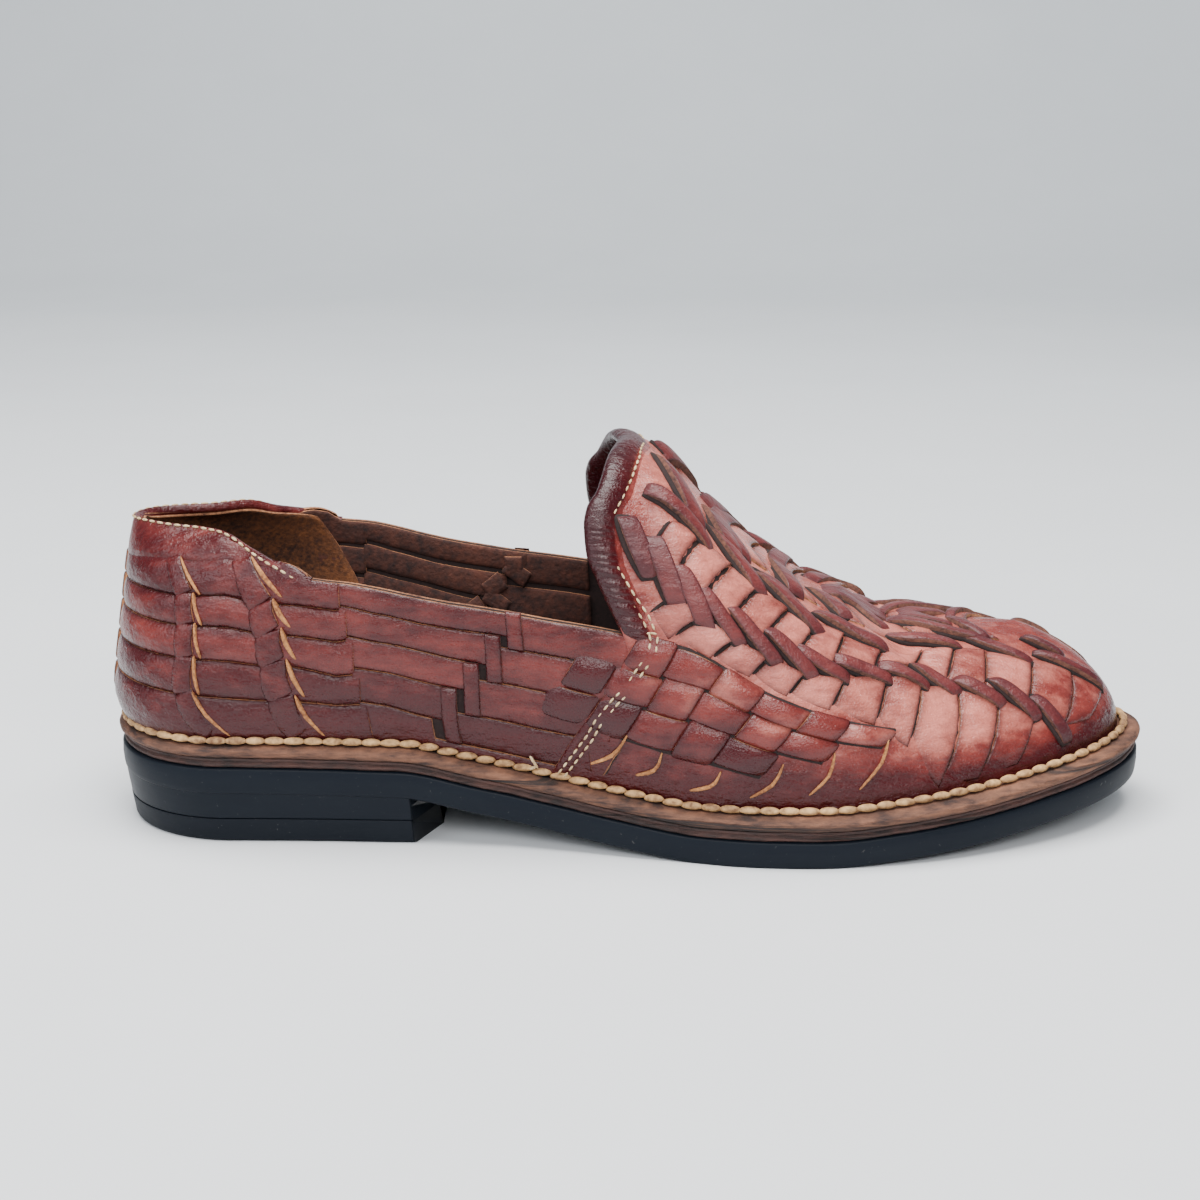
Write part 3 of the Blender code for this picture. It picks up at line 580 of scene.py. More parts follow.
# %% [markdown]
# ## The collar, the throat and the edge of the vamp
# A few lines drawn on the last bound the panels: the rim of the quarter, the edge of the throat,
# and the back edge of the vamp that overlaps the quarter. The foot goes in between them.

# %% Lines on the last: share along, share of girth
RIM = (
    (0.00, 0.880), (0.07, 0.880), (0.10, 0.840), (0.13, 0.750), (0.17, 0.580), (0.20, 0.480),
    (0.24, 0.420), (0.30, 0.362), (0.36, 0.347), (0.42, 0.340), (0.505, 0.330),
)
# Share of girth, share along
THROAT = (
    (0.330, 0.505), (0.430, 0.489), (0.500, 0.482), (0.570, 0.484), (0.630, 0.491), (0.690, 0.505),
    (0.830, 0.524), (1.000, 0.543),
)
VAMP_BACK = (
    (0.00, 0.425), (0.09, 0.452), (0.15, 0.470), (0.20, 0.486), (0.25, 0.500), (0.30, 0.508), (0.33, 0.505),
)
COLLAR_LINE = (
    (0.000, 0.605), (0.010, 0.610), (0.065, 0.650), (0.110, 0.645), (0.150, 0.600), (0.185, 0.515),
    (0.210, 0.430),
)
SEAM_TOP = 0.33


def map_u(along):
    return float(to_map(np.array(along), 0.0)[0])


def rim_v(u):
    return read(RIM, along_of(u)) * MAP_GIRTH


def vamp_edge_u(v):
    """The vamp's back edge at a height of the map, folded over the ridge."""
    girth = girth_of(v)
    return map_u(read(VAMP_BACK if girth < SEAM_TOP else THROAT, girth))


print("the rim at the heel is", round(rim_v(0.0) * 1000, 1), "mm up the map")


# %% The quarter: the wall behind its strips, painted near-black as shade in the slits between them
QUARTER_TOP = PANEL_TOP - 0.0002


def make_quarter():
    bm = start_flat()
    bmesh.ops.create_grid(bm, x_segments=150, y_segments=26, size=0.5)
    reach = map_u(0.525)
    for vertex in bm.verts:
        u = 2 * reach * vertex.co.x
        v = (vertex.co.y + 0.5) * rim_v(u)
        # The wall stops below the vamp's overlap
        limit = vamp_edge_u(v) + 0.010
        vertex.co = (math.copysign(min(abs(u), limit), u), v, QUARTER_TOP)
    bmesh.ops.remove_doubles(bm, verts=bm.verts, dist=1e-6)
    bmesh.ops.recalc_face_normals(bm, faces=bm.faces)
    # Face and back are painted near-black, as the shade seen between the strips
    piece = lay_piece(bm, "upper_quarter_wall", painted_shade, painted_shade, raw_edge)
    add_wall(piece, QUARTER_TOP)
    return piece


quarter = make_quarter()
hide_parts("upper")


# %% The vamp: one sheet over the ridge to the toe
# How much higher it lies over the quarter
VAMP_STEP = 0.0011


def vamp_lift(u, v):
    """The sheet rises where it lies over the strips of the quarter."""
    over = max(0.0, 1 - (u - vamp_edge_u(v)) / 0.013)
    low = min(1.0, max(0.0, (0.40 - girth_of(v)) / 0.08))
    return PANEL_TOP + VAMP_STEP * low * over * over * (3 - 2 * over)


def make_vamp():
    bm = start_flat()
    bmesh.ops.create_grid(bm, x_segments=130, y_segments=170, size=0.5)
    for vertex in bm.verts:
        v = (vertex.co.y + 0.5) * 2 * MAP_GIRTH
        back = vamp_edge_u(v)
        u = back + (vertex.co.x + 0.5) * (MAP_LENGTH - back)
        vertex.co = (u, v, vamp_lift(u, v))
    lay_on_last(bm)
    bmesh.ops.remove_doubles(bm, verts=bm.verts, dist=4e-5)
    piece = make_piece(bm, "upper_vamp_sheet", (smooth_leather, dark_lining, raw_edge))
    add_wall(piece, PANEL_TOP)
    return piece


vamp = make_vamp()
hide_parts("upper")

# %% [markdown]
# ## The long strips of the side
# Five strips run from the heel to the vamp. Four short loops hold them, and past each loop the
# slits lie a little lower. The upper cut edge of each strip catches the light as a pale line.

# %% Strips of the side
# Share along, then the girth of the four slits between the five strips
SIDE_REAR = (
    (0.00, 0.495, 0.385, 0.275, 0.165), (0.11, 0.497, 0.380, 0.265, 0.145),
    (0.185, 0.405, 0.310, 0.220, 0.120), (0.23, 0.350, 0.265, 0.175, 0.100),
)
SIDE_MIDDLE = (
    (0.235, 0.360, 0.280, 0.200, 0.115), (0.275, 0.315, 0.245, 0.175, 0.095),
    (0.31, 0.295, 0.230, 0.160, 0.080), (0.40, 0.285, 0.210, 0.150, 0.075),
)
SIDE_FRONT = (
    (0.32, 0.265, 0.185, 0.105, 0.035), (0.44, 0.260, 0.180, 0.100, 0.030),
    (0.50, 0.250, 0.175, 0.100, 0.030),
)
FOOT_LINE = 0.004
RIM_MARGIN = 0.004
STRIP_LAP = 0.004
KEEPER_FIRST = 0.401
KEEPER_PITCH = -0.0215
KEEPER_WIDTH = 0.0036
KEEPER_TOP = 0.0029
SIDE_GAP = 0.0003
HEEL_PILLOW = 0.0008
# Almost three half waves, so three pillows between the straps
PILLOW_TURN = 8.9


def strip_top(along):
    """Upper edge of the first strip: under the collar band, then just below the rim."""
    if along < 0.205:
        return read(COLLAR_LINE, along) + 0.03
    return read(RIM, along) - RIM_MARGIN


def keeper_along(row):
    return KEEPER_FIRST + KEEPER_PITCH * row


def side_place(table, row, start, end, gap):
    """One of the five strips between two shares of the length."""
    def place(s, t):
        along = start + (end - start) * s
        low = read(table, along, row + 1) if row < 4 else FOOT_LINE
        high = read(table, along, row) if row else strip_top(along)
        v_low = low * MAP_GIRTH + gap / 2
        v_high = high * MAP_GIRTH - (gap / 2 if row else 0.0)
        return map_u(along), v_low + (v_high - v_low) * t
    return place


def across_strip(top, crown, pillows=0.0):
    """The height of a long strip, crowned across it, with pillows between the heel's straps."""
    def height(s, t):
        side = abs(2 * t - 1)
        pillow = pillows * abs(math.sin(PILLOW_TURN * s)) ** 0.7
        return top + (crown + pillow) * (1 - side ** 2) - 0.0002 * side ** 10
    return height


def make_side_strips():
    bm = start_flat()
    for row in range(5):
        keeper = keeper_along(row)
        front_end = along_of(vamp_edge_u((0.30 - 0.065 * row) * MAP_GIRTH)) + 0.012
        jog = 0.228 + 0.006 * row
        spans = (
            (SIDE_REAR, 0.0, jog + 0.007, 44), (SIDE_MIDDLE, jog, keeper + STRIP_LAP, 26),
            (SIDE_FRONT, keeper - STRIP_LAP, front_end, 18),
        )
        for table, start, end, count in spans:
            top = BAND_TOP - 0.0001 * (row % 2)
            height = across_strip(top, 0.00035, 0.0 if start > 0 else HEEL_PILLOW)
            pad_both(bm, side_place(table, row, start, end, SIDE_GAP), height,
                     PANEL_TOP - 0.0006, count, 8, 0.06 * ((row * 7) % 3 - 1), (0.0, 1.0))
    lay_piece(bm, "upper_side_strips", band_leather, raw_edge)


make_side_strips()


# %% Ribbons along a line, for loops, straps and narrow strips
def ribbon(points, width, taper=0.0):
    """A strip of even width along a few map points. t runs along it and s across."""
    points = [Vector(point) for point in points]
    lengths = [(b - a).length for a, b in zip(points, points[1:])]
    total = sum(lengths)

    def place(s, t):
        rest = t * total
        k = 0
        while k < len(lengths) - 1 and rest > lengths[k]:
            rest -= lengths[k]
            k += 1
        share = min(1.0, rest / lengths[k])
        before = points[max(0, k - 1)]
        after = points[min(len(points) - 1, k + 2)]
        a, b = points[k], points[k + 1]
        here = 0.5 * (2 * a + (b - before) * share + (2 * before - 5 * a + 4 * b - after) * share ** 2
                      + (3 * a - 3 * b + after - before) * share ** 3)
        ahead = (b - a).normalized()
        wide = width * (1 - taper * abs(2 * t - 1) ** 2)
        return here + Vector((-ahead.y, ahead.x)) * wide * (s - 0.5)
    return place


def on_map(along, girth):
    return Vector((math.copysign(map_u(abs(along)), along), girth * MAP_GIRTH))


def make_keepers():
    bm = start_flat()
    for row in range(4):
        along = keeper_along(row)
        top = read(SIDE_MIDDLE, along, row) if row else read(RIM, along) + 0.003
        low = read(SIDE_FRONT, along, row + 1)
        pad_both(bm, ribbon((on_map(along, top), on_map(along + 0.001, low)), KEEPER_WIDTH),
                 crowned(KEEPER_TOP, 0.0004, 0.0008), PANEL_TOP, 7, 14, -0.06)
    lay_piece(bm, "upper_side_loops", band_leather, strip_edge)


make_keepers()

# %% [markdown]
# ## The heel straps and the collar band
# On each side two straps come down from the collar band and go over and under the long strips,
# and a wider one comes down the back. Where a strap dives, the strip beside it opens and shows its
# cut edge as a tan crescent.

# %% Straps and crescents
# The middle line of each strap, from the band down to the welt, and its width
STRAPS = (
    (((0.060, 0.655), (0.078, 0.480), (0.082, 0.300), (0.083, 0.135), (0.105, 0.020)), 0.0078),
    (((0.134, 0.640), (0.154, 0.470), (0.165, 0.330), (0.173, 0.180), (0.190, 0.020)), 0.0080),
)
BACK_STRAP_WIDTH = 0.0150
STRAP_FOOT = 0.02
STRAP_TOP = 0.0031
STRAP_BOW = Vector((0.0010, 0.0))
CRESCENT_TAPER = 0.85


def along_line(points, share):
    """A place on a line of map points, by the girth's share."""
    return read([(girth, along) for along, girth in reversed(points)], share)


def make_straps():
    bm = start_flat()
    crescents = start_flat()
    for points, width in STRAPS:
        middle_along = points[2][0]
        slits = [read(SIDE_REAR, middle_along, row) for row in range(1, 5)]
        levels = [points[0][1], *slits, STRAP_FOOT]
        for k, (high, low) in enumerate(zip(levels, levels[1:])):
            first = on_map(along_line(points, high), high + 0.012)
            last = on_map(along_line(points, low), low + 0.004)
            middle = (first + last) / 2
            pad_both(bm, ribbon((first, middle - STRAP_BOW, last), width, 0.10),
                     crowned(STRAP_TOP - 0.0001 * k, 0.0004, 0.0008), PANEL_TOP - 0.0003, 9, 12, -0.02)
            aside = Vector((width / 2 + 0.0006, 0.0))
            lens = (first + aside * 0.85, middle + aside, last + aside * 1.45)
            pad_both(crescents, ribbon(lens, 0.0012, CRESCENT_TAPER), crowned(STRAP_TOP, 0.0, 0.0004),
                     PANEL_TOP, 4, 10)
    for low, high in zip(SIDE_REAR[0][1:] + (STRAP_FOOT,), (0.61,) + SIDE_REAR[0][1:]):
        line = ((-0.0005, high * MAP_GIRTH), (0.0, (high + low) / 2 * MAP_GIRTH), (0.0005, low * MAP_GIRTH))
        pad(bm, ribbon(line, BACK_STRAP_WIDTH), crowned(0.0027, 0.0003, 0.0009),
            PANEL_TOP - 0.0003, 12, 12, -0.04)
        lens = [(u + BACK_STRAP_WIDTH / 2 + 0.0013, v) for u, v in line]
        pad_both(crescents, ribbon(lens, 0.0014, CRESCENT_TAPER), crowned(0.0021, 0.0, 0.0006),
                 PANEL_TOP, 4, 10)
    lay_piece(bm, "upper_heel_straps", band_leather, raw_edge)
    lay_piece(crescents, "upper_heel_cut_edges", tan_edge, tan_edge)


make_straps()


# %% The collar band
def make_collar_band():
    """One turned strip round the heel: its outside, its rolled rim and its turned-in edge."""
    bm = start_flat()
    edge = bm.verts.layers.float["edge"]
    # Share up the band, millimetres past that, height in millimetres
    rows = (
        (0.00, -0.1, 1.0), (0.00, 0.0, 2.0), (0.00, 0.4, 2.4), (0.20, 0.0, 2.5), (0.45, 0.0, 2.4),
        (0.70, 0.0, 2.3), (0.88, 0.0, 2.2), (1.00, -1.9, 2.2), (1.00, -1.3, 2.0), (1.00, -0.6, 2.2),
        (1.00, 0.1, 2.2), (1.00, 0.6, 1.7), (1.00, 0.8, 1.0), (1.00, 0.5, 0.2), (1.00, -0.4, -0.3),
        (1.00, -2.5, -0.5), (1.00, -6.0, -0.5),
    )
    bmesh.ops.create_grid(bm, x_segments=120, y_segments=len(rows) - 1, size=0.5)
    reach = map_u(0.208)
    for vertex in bm.verts:
        u = 2 * reach * vertex.co.x
        share, past, height = rows[round((vertex.co.y + 0.5) * (len(rows) - 1))]
        high = rim_v(u)
        low = min(read(COLLAR_LINE, along_of(u)) * MAP_GIRTH, high - 0.0012)
        squeeze = min(1.0, (high - low) / 0.006)
        vertex.co = (u, low + (high - low) * share + past * 0.001 * squeeze, height * 0.001)
        vertex[edge] = 0.25 if past > 0.0 and share == 1.0 else 0.0
    bmesh.ops.recalc_face_normals(bm, faces=bm.faces)
    lay_piece(bm, "upper_collar_band", smooth_leather)


make_collar_band()

# %% [markdown]
# ## The vamp's weave
# Wide bands run down the foot, and narrow strips cross them in slanting chains. Each field of a
# band lies between two slits. Low fields melt into the uncut leather by the welt.

# %% The slits of the vamp
# Each slit from its upper end to its lower end: share along and share of girth, twice
LOWER_SLITS = (
    (0.566, 0.44, 0.532, 0.38), (0.593, 0.41, 0.555, 0.34), (0.615, 0.39, 0.591, 0.32),
    (0.649, 0.40, 0.629, 0.33), (0.683, 0.39, 0.664, 0.32), (0.727, 0.42, 0.706, 0.32),
    (0.777, 0.47, 0.749, 0.30), (0.809, 0.44, 0.777, 0.23), (0.849, 0.44, 0.803, 0.08),
    (0.880, 0.36, 0.842, 0.08), (0.903, 0.23, 0.881, 0.08),
)
MIDDLE_SLITS = (
    (0.573, 0.63, 0.545, 0.54), (0.607, 0.66, 0.567, 0.48), (0.638, 0.67, 0.590, 0.45),
    (0.666, 0.66, 0.619, 0.46), (0.698, 0.65, 0.655, 0.48), (0.732, 0.66, 0.684, 0.46),
    (0.758, 0.65, 0.725, 0.49), (0.791, 0.60, 0.772, 0.52), (0.853, 0.70, 0.827, 0.60),
    (0.890, 0.70, 0.853, 0.53), (0.919, 0.66, 0.886, 0.48), (0.954, 0.56, 0.915, 0.36),
    (0.975, 0.41, 0.937, 0.20), (0.988, 0.25, 0.964, 0.17),
)
UPPER_SLITS = (
    (0.612, 1.06, 0.591, 0.81), (0.648, 1.06, 0.648, 0.87), (0.690, 1.06, 0.700, 0.88),
    (0.738, 1.06, 0.752, 0.83), (0.792, 1.06, 0.798, 0.77), (0.850, 1.06, 0.864, 0.82),
    (0.900, 1.06, 0.918, 0.85), (0.945, 1.06, 0.951, 0.75),
)
print(len(LOWER_SLITS) + len(MIDDLE_SLITS) + len(UPPER_SLITS), "slits on each side of the vamp")


# %% Fields between the slits
def field(behind, ahead, opening, longer):
    """The strip between two slits, which open in the middle of their length."""
    corners = [on_map(*behind[:2]), on_map(*ahead[:2]), on_map(*ahead[2:]), on_map(*behind[2:])]

    def place(s, t):
        stretched = t * (1 + 2 * longer) - longer
        left = corners[0].lerp(corners[3], stretched)
        right = corners[1].lerp(corners[2], stretched)
        wide = (right - left).normalized() * opening * (0.35 + 0.65 * math.sin(math.pi * t))
        return (left + wide / 2).lerp(right - wide / 2, s)
    return place


def ridge_field(behind, ahead, opening, longer):
    """A strip that lies over the ridge, from its low end on one side to the one on the other."""
    tops = [Vector((map_u(row[0]), MAP_GIRTH)) for row in (behind, ahead)]
    lows = [on_map(*row[2:]) for row in (behind, ahead)]

    def place(s, t):
        reach = abs(2 * t - 1) * (1 + longer)
        left, right = (top.lerp(low, reach) for top, low in zip(tops, lows))
        wide = (right - left).normalized() * opening
        here = (left + wide / 2).lerp(right - wide / 2, s)
        return (here.x, here.y if t > 0.5 else 2 * MAP_GIRTH - here.y)
    return place


def tilted(height, amount):
    """The same height, tipped so that the front edge stands higher than the rear one."""
    return lambda s, t: height(s, t) + amount * (s - 0.5)


def faded(top, fade):
    """A field that stands high at its upper end and melts away at its lower end."""
    def height(s, t):
        side = abs(2 * s - 1)
        melt = max(0.0, (t - 1 + fade) / fade) ** 1.5
        return top * (1 - melt) + (PANEL_TOP - 0.0001) * melt + 0.0003 * (1 - side ** 2) * (1 - melt)
    return height


def make_fields():
    bm = start_flat()
    shade_ribbons = start_flat()
    # Slits, how wide they open and how much longer the fields between them are
    chains = ((LOWER_SLITS, 0.0009, 0.14), (MIDDLE_SLITS, 0.0010, 0.10), (UPPER_SLITS, 0.0009, 0.06))
    for slits, opening, longer in chains:
        for k, (behind, ahead) in enumerate(zip(slits, slits[1:])):
            shade = 0.05 * ((k * 5) % 3 - 1)
            lifted = 0.00035 * ((k * 3) % 4) / 3
            low = slits is LOWER_SLITS
            height = faded(BAND_TOP + 0.0002, 0.6) if low else crowned(BAND_TOP + lifted, 0.0004, 0.0004)
            height = tilted(height, 0.0005)
            base = PANEL_TOP - 0.0004
            if slits is UPPER_SLITS:
                pad(bm, ridge_field(behind, ahead, opening, longer), height, base, 10, 24, shade)
            else:
                pad_both(bm, field(behind, ahead, opening, longer), height, base, 10, 14, shade)
        for slit in slits:
            line = (on_map(slit[0], min(1.0, slit[1])), on_map(*slit[2:]))
            # Under each slit a dark ribbon on the panel is painted shade in the slit
            pad_both(shade_ribbons, ribbon(line, opening * 1.7, 0.75), crowned(PANEL_TOP + 0.00012, 0.0),
                     PANEL_TOP - 0.0002, 2, 12)
    lay_piece(bm, "upper_vamp_bands", band_leather, raw_edge)
    lay_piece(shade_ribbons, "upper_vamp_painted_slit_shade", painted_shade, painted_shade)


make_fields()

# %% Narrow strips over them
# Share along and share of girth of both ends: first the chains in turn, then strips by the ridge
NARROW_STRIPS = (
    (0.528, 0.60, 0.540, 0.48), (0.551, 0.55, 0.561, 0.43), (0.573, 0.49, 0.585, 0.40),
    (0.595, 0.47, 0.618, 0.41), (0.626, 0.48, 0.653, 0.41), (0.663, 0.49, 0.689, 0.41),
    (0.692, 0.48, 0.728, 0.44), (0.734, 0.50, 0.776, 0.47), (0.783, 0.52, 0.816, 0.47),
    (0.828, 0.59, 0.848, 0.45), (0.860, 0.50, 0.882, 0.36), (0.896, 0.48, 0.909, 0.26),
    (0.921, 0.36, 0.931, 0.10), (0.562, 0.71, 0.609, 0.66), (0.636, 0.80, 0.664, 0.66),
    (0.690, 0.79, 0.719, 0.62), (0.744, 0.73, 0.795, 0.63), (0.833, 0.80, 0.896, 0.71),
    (0.920, 0.79, 0.950, 0.55), (0.966, 0.58, 0.991, 0.27), (0.588, 0.93, 0.606, 0.74),
    (0.650, 1.02, 0.667, 0.84), (0.718, 1.00, 0.724, 0.82), (0.761, 0.95, 0.778, 0.80),
    (0.811, 1.00, 0.833, 0.87), (0.926, 1.00, 0.937, 0.76), (0.975, 0.70, 0.983, 0.51),
    (0.774, 0.99, 0.845, 0.98), (0.849, 0.96, 0.935, 0.75), (0.682, 0.76, 0.722, 0.61),
    (0.867, 1.00, 0.920, 0.93), (0.640, 0.96, 0.650, 0.78),
)
NARROW_WIDTH = 0.0053
TUCKED_IN = 0.0022
ARCH_DIVE = 0.0024


def arched(top, dive):
    """The height of a strip that comes up, bows over its neighbour and dives again."""
    def height(s, t):
        return top + 0.0003 * (1 - (2 * s - 1) ** 2) - dive * abs(2 * t - 1) ** 3.5
    return height


def make_narrow_strips():
    bm = start_flat()
    shadows = start_flat()
    for k, row in enumerate(NARROW_STRIPS):
        first = on_map(*row[:2])
        last = on_map(*row[2:])
        ahead = (last - first).normalized()
        first -= ahead * TUCKED_IN
        last += ahead * TUCKED_IN
        aside = Vector((-ahead.y, ahead.x))
        middle = (first + last) / 2 + aside * 0.0004 * ((k * 7) % 3 - 1)
        rise = 0.0002 * ((k * 5) % 3)
        pad_both(bm, ribbon((first, middle, last), NARROW_WIDTH, 0.12),
                 arched(STRIP_TOP + rise, ARCH_DIVE), BAND_TOP - 0.0006, 7, 16, -0.06)
        # A dark ribbon, a little wider than the strip and shifted to one side, is its painted shadow on the
        # bands
        off = aside * -0.0010
        pad_both(shadows, ribbon((first + off, middle + off, last + off), NARROW_WIDTH + 0.0004, 0.35),
                 crowned(BAND_TOP + 0.00045, 0.0, 0.0004), PANEL_TOP, 4, 10)
    lay_piece(bm, "upper_narrow_strips", strip_leather, strip_edge)
    lay_piece(shadows, "upper_narrow_strip_painted_shadows", painted_shade, painted_shade)


make_narrow_strips()

# %% [markdown]
# ## The basket weave
# Beside the ball, broad strips are woven one over, one under. Every pad is a small shiny pillow,
# and in the gaps between pads the fuzzy cut edges show.

# %% Basket pads
# Place of the first crossing and the steps to the next ones, in shares along and of girth
BASKET_FIRST = (0.570, 0.279)
BASKET_ALONG = (0.0408, -0.0103)
BASKET_DOWN = (-0.0188, -0.0678)
# First crossing of each row and the one after its last
BASKET_ROWS = ((-1, 5), (-2, 4), (-2, 3))
BASKET_LONG = 0.62
BASKET_SHORT = 0.455
BASKET_TOP = 0.0036
# Tan edges of the slits that the lowest pads dive into
BASKET_SLITS = (
    (0.464, 0.046, 0.506, 0.128), (0.510, 0.045, 0.537, 0.102), (0.560, 0.034, 0.591, 0.081),
    (0.616, 0.032, 0.650, 0.124), (0.672, 0.048, 0.700, 0.176), (0.720, 0.062, 0.756, 0.246),
)


def basket_place(column_number, row, reach, drop):
    """One crossing of the weave. reach and drop are half its size in steps of the weave."""
    def place(s, t):
        a = column_number + (2 * s - 1) * reach
        b = row + (2 * t - 1) * drop
        along = BASKET_FIRST[0] + a * BASKET_ALONG[0] + b * BASKET_DOWN[0]
        girth = BASKET_FIRST[1] + a * BASKET_ALONG[1] + b * BASKET_DOWN[1]
        return on_map(along, max(0.012, girth))
    return place


def make_basket():
    bm = start_flat()
    edges = start_flat()
    painted_basket_shade = start_flat()
    for row, (first, stop) in enumerate(BASKET_ROWS):
        for number in range(first, stop):
            long_way = (row + number) % 2 == 0
            reach = BASKET_LONG if long_way else BASKET_SHORT
            drop = BASKET_SHORT if long_way else BASKET_LONG

            def height(s, t, long_way=long_way):
                end = abs(2 * s - 1) if long_way else abs(2 * t - 1)
                side = abs(2 * t - 1) if long_way else abs(2 * s - 1)
                return BASKET_TOP - 0.0020 * end ** 2.2 - 0.0007 * side ** 3

            pad_both(bm, basket_place(number, row, reach, drop), height,
                     PANEL_TOP - 0.0002, 12, 12, -0.08 + 0.09 * ((row + number * 2) % 3 - 1))
            # A dark square on the panel at each crossing is painted shade in the gaps between the pads
            pad_both(painted_basket_shade, basket_place(number, row, 0.56, 0.56),
                     crowned(PANEL_TOP + 0.0005, 0.0), PANEL_TOP - 0.0002, 3, 3)
    for slit in BASKET_SLITS:
        first = on_map(*slit[:2])
        last = on_map(*slit[2:])
        bow = Vector((0.0014, -0.0008))
        pad_both(edges, ribbon((first, (first + last) / 2 + bow, last), 0.0007, 0.70),
                 crowned(0.0021, 0.0, 0.0004), PANEL_TOP - 0.0002, 4, 14)
    lay_piece(bm, "upper_basket_pads", basket_leather, raw_edge)
    lay_piece(edges, "upper_basket_cut_edges", tan_edge, tan_edge)
    lay_piece(painted_basket_shade, "upper_basket_painted_gap_shade", painted_shade, painted_shade)


make_basket()

# %% [markdown]
# ## The rolled edge of the throat
# The vamp's leather is wrapped round a cord at the throat and stitched down. Round a tight curve
# the leather has too much length, so it gathers in fine folds across the roll.

# %% Rolled edge
# Millimetres in from the edge, height in millimetres
ROLL = (
    (8.0, 1.15), (7.2, 1.55), (6.6, 1.65), (5.9, 2.2), (4.6, 2.85), (3.0, 3.15), (1.6, 3.0), (0.5, 2.5),
    (-0.3, 1.7), (-0.6, 0.8), (-0.4, -0.1), (0.4, -0.8), (2.0, -1.1), (5.0, -1.1), (9.0, -0.6),
)


def make_roll():
    bm = start_flat()
    edge = bm.verts.layers.float["edge"]
    tone = bm.verts.layers.float["tone"]
    bmesh.ops.create_grid(bm, x_segments=len(ROLL) - 1, y_segments=460, size=0.5)
    first = SEAM_TOP - 0.022
    for vertex in bm.verts:
        inward, height = ROLL[round((vertex.co.x + 0.5) * (len(ROLL) - 1))]
        share = vertex.co.y + 0.5
        girth = first + share * 2 * (1 - first)
        v = girth * MAP_GIRTH
        gathered = max(0.0, 1 - abs(min(girth, 2 - girth) - 0.44) / 0.20)
        proud = max(0.0, (height - 1.2) / 2.0)
        fold = math.sin(v / 0.00030 + 1.5 * math.sin(v / 0.0011)) * 0.30 * gathered * proud
        end = min(1.0, min(share, 1 - share) / 0.02)
        vertex.co = (vamp_edge_u(v) + inward * 0.001, v, (height * (0.55 + 0.45 * end) + fold) * 0.001)
        vertex[edge] = 0.5 * max(0.0, 1 - abs(inward - 0.2) / 3.2)
        vertex[tone] = -0.72 + 0.05 * inward if inward < 6.0 else -0.12
    lay_piece(bm, "upper_rolled_edge", smooth_leather)


make_roll()

# %% [markdown]
# ## Stitches
# Thread lies in short rounded bars. The line of a seam is bent onto the last first, and then the
# bars are placed along it one by one, so that they keep an even distance.

# %% Laying thread along a line
SEAM_LINE = (
    (0.564, 0.987), (0.554, 0.861), (0.539, 0.753), (0.523, 0.671), (0.507, 0.602), (0.501, 0.545),
    (0.500, 0.495), (0.509, 0.451), (0.518, 0.410), (0.529, 0.371), (0.535, 0.331), (0.532, 0.299),
    (0.519, 0.259), (0.507, 0.218), (0.494, 0.187), (0.479, 0.144), (0.469, 0.103), (0.457, 0.067),
    (0.439, 0.016),
)
SEAM_ROW_GAP = 0.0019
COLLAR_THREAD_LIFT = 0.0024
# Pitch, length and width of a stitch
SEAM_STITCH = (0.0027, 0.0021, 0.0007)
LOOSE_STITCH = (0.0016, 0.0030, 0.0009)
COLLAR_STITCH = (0.0029, 0.0023, 0.0008)
# A thread end that sticks out at the foot of the seam
LOOSE_END = ((0.412, 0.040), (0.416, 0.024), (0.408, 0.012))


def even_steps(points, pitch):
    """Evenly spaced places on a line of points, each with its direction."""
    points = np.array(points)
    lengths = np.concatenate(([0.0], np.cumsum(np.linalg.norm(np.diff(points, axis=0), axis=1))))
    marks = np.arange(pitch / 2, lengths[-1], pitch)
    places = np.stack([np.interp(marks, lengths, points[:, k]) for k in range(points.shape[1])], 1)
    ahead = [np.interp(marks + pitch / 4, lengths, points[:, k]) for k in range(points.shape[1])]
    return places, np.stack(ahead, 1) - places


def thread_line(bm, points, lift, shift, pitch, length, width):
    """Rounded bars of thread at even real distances along a line of the map."""
    points = np.array([tuple(point) for point in points])
    fine = np.linspace(0, len(points) - 1, 25 * len(points))
    u, v = (np.interp(fine, np.arange(len(points)), points[:, k]) for k in (0, 1))
    heights = np.array([lift(*place) for place in zip(u, v)])
    line = bend(u, v, heights)
    outward = bend(u, v, heights + 0.001) - line
    outward /= np.linalg.norm(outward, axis=1, keepdims=True)
    ahead = np.gradient(line, axis=0)
    ahead /= np.linalg.norm(ahead, axis=1, keepdims=True)
    line += np.cross(outward, ahead) * shift
    # The outward directions ride along as tiny numbers, so that only real distances count
    places, headings = even_steps(np.hstack((line, outward * 1e-6)), pitch)
    for place, heading in zip(places, headings):
        up = place[3:] / np.linalg.norm(place[3:])
        along = heading[:3] / np.linalg.norm(heading[:3])
        frame_of_stitch = np.stack((along * length, np.cross(up, along) * width, up * width))
        for vertex in bmesh.ops.create_uvsphere(bm, u_segments=8, v_segments=5, radius=0.5)["verts"]:
            vertex.co = place[:3] + np.array(vertex.co) @ frame_of_stitch


print("the seam has a stitch every", SEAM_STITCH[0] * 1000, "mm")


# %% The upper's stitches
def seam_lift(u, v):
    """The seam lies higher where it crosses the basket weave."""
    return 0.0020 if v > 0.34 * MAP_GIRTH else 0.0031


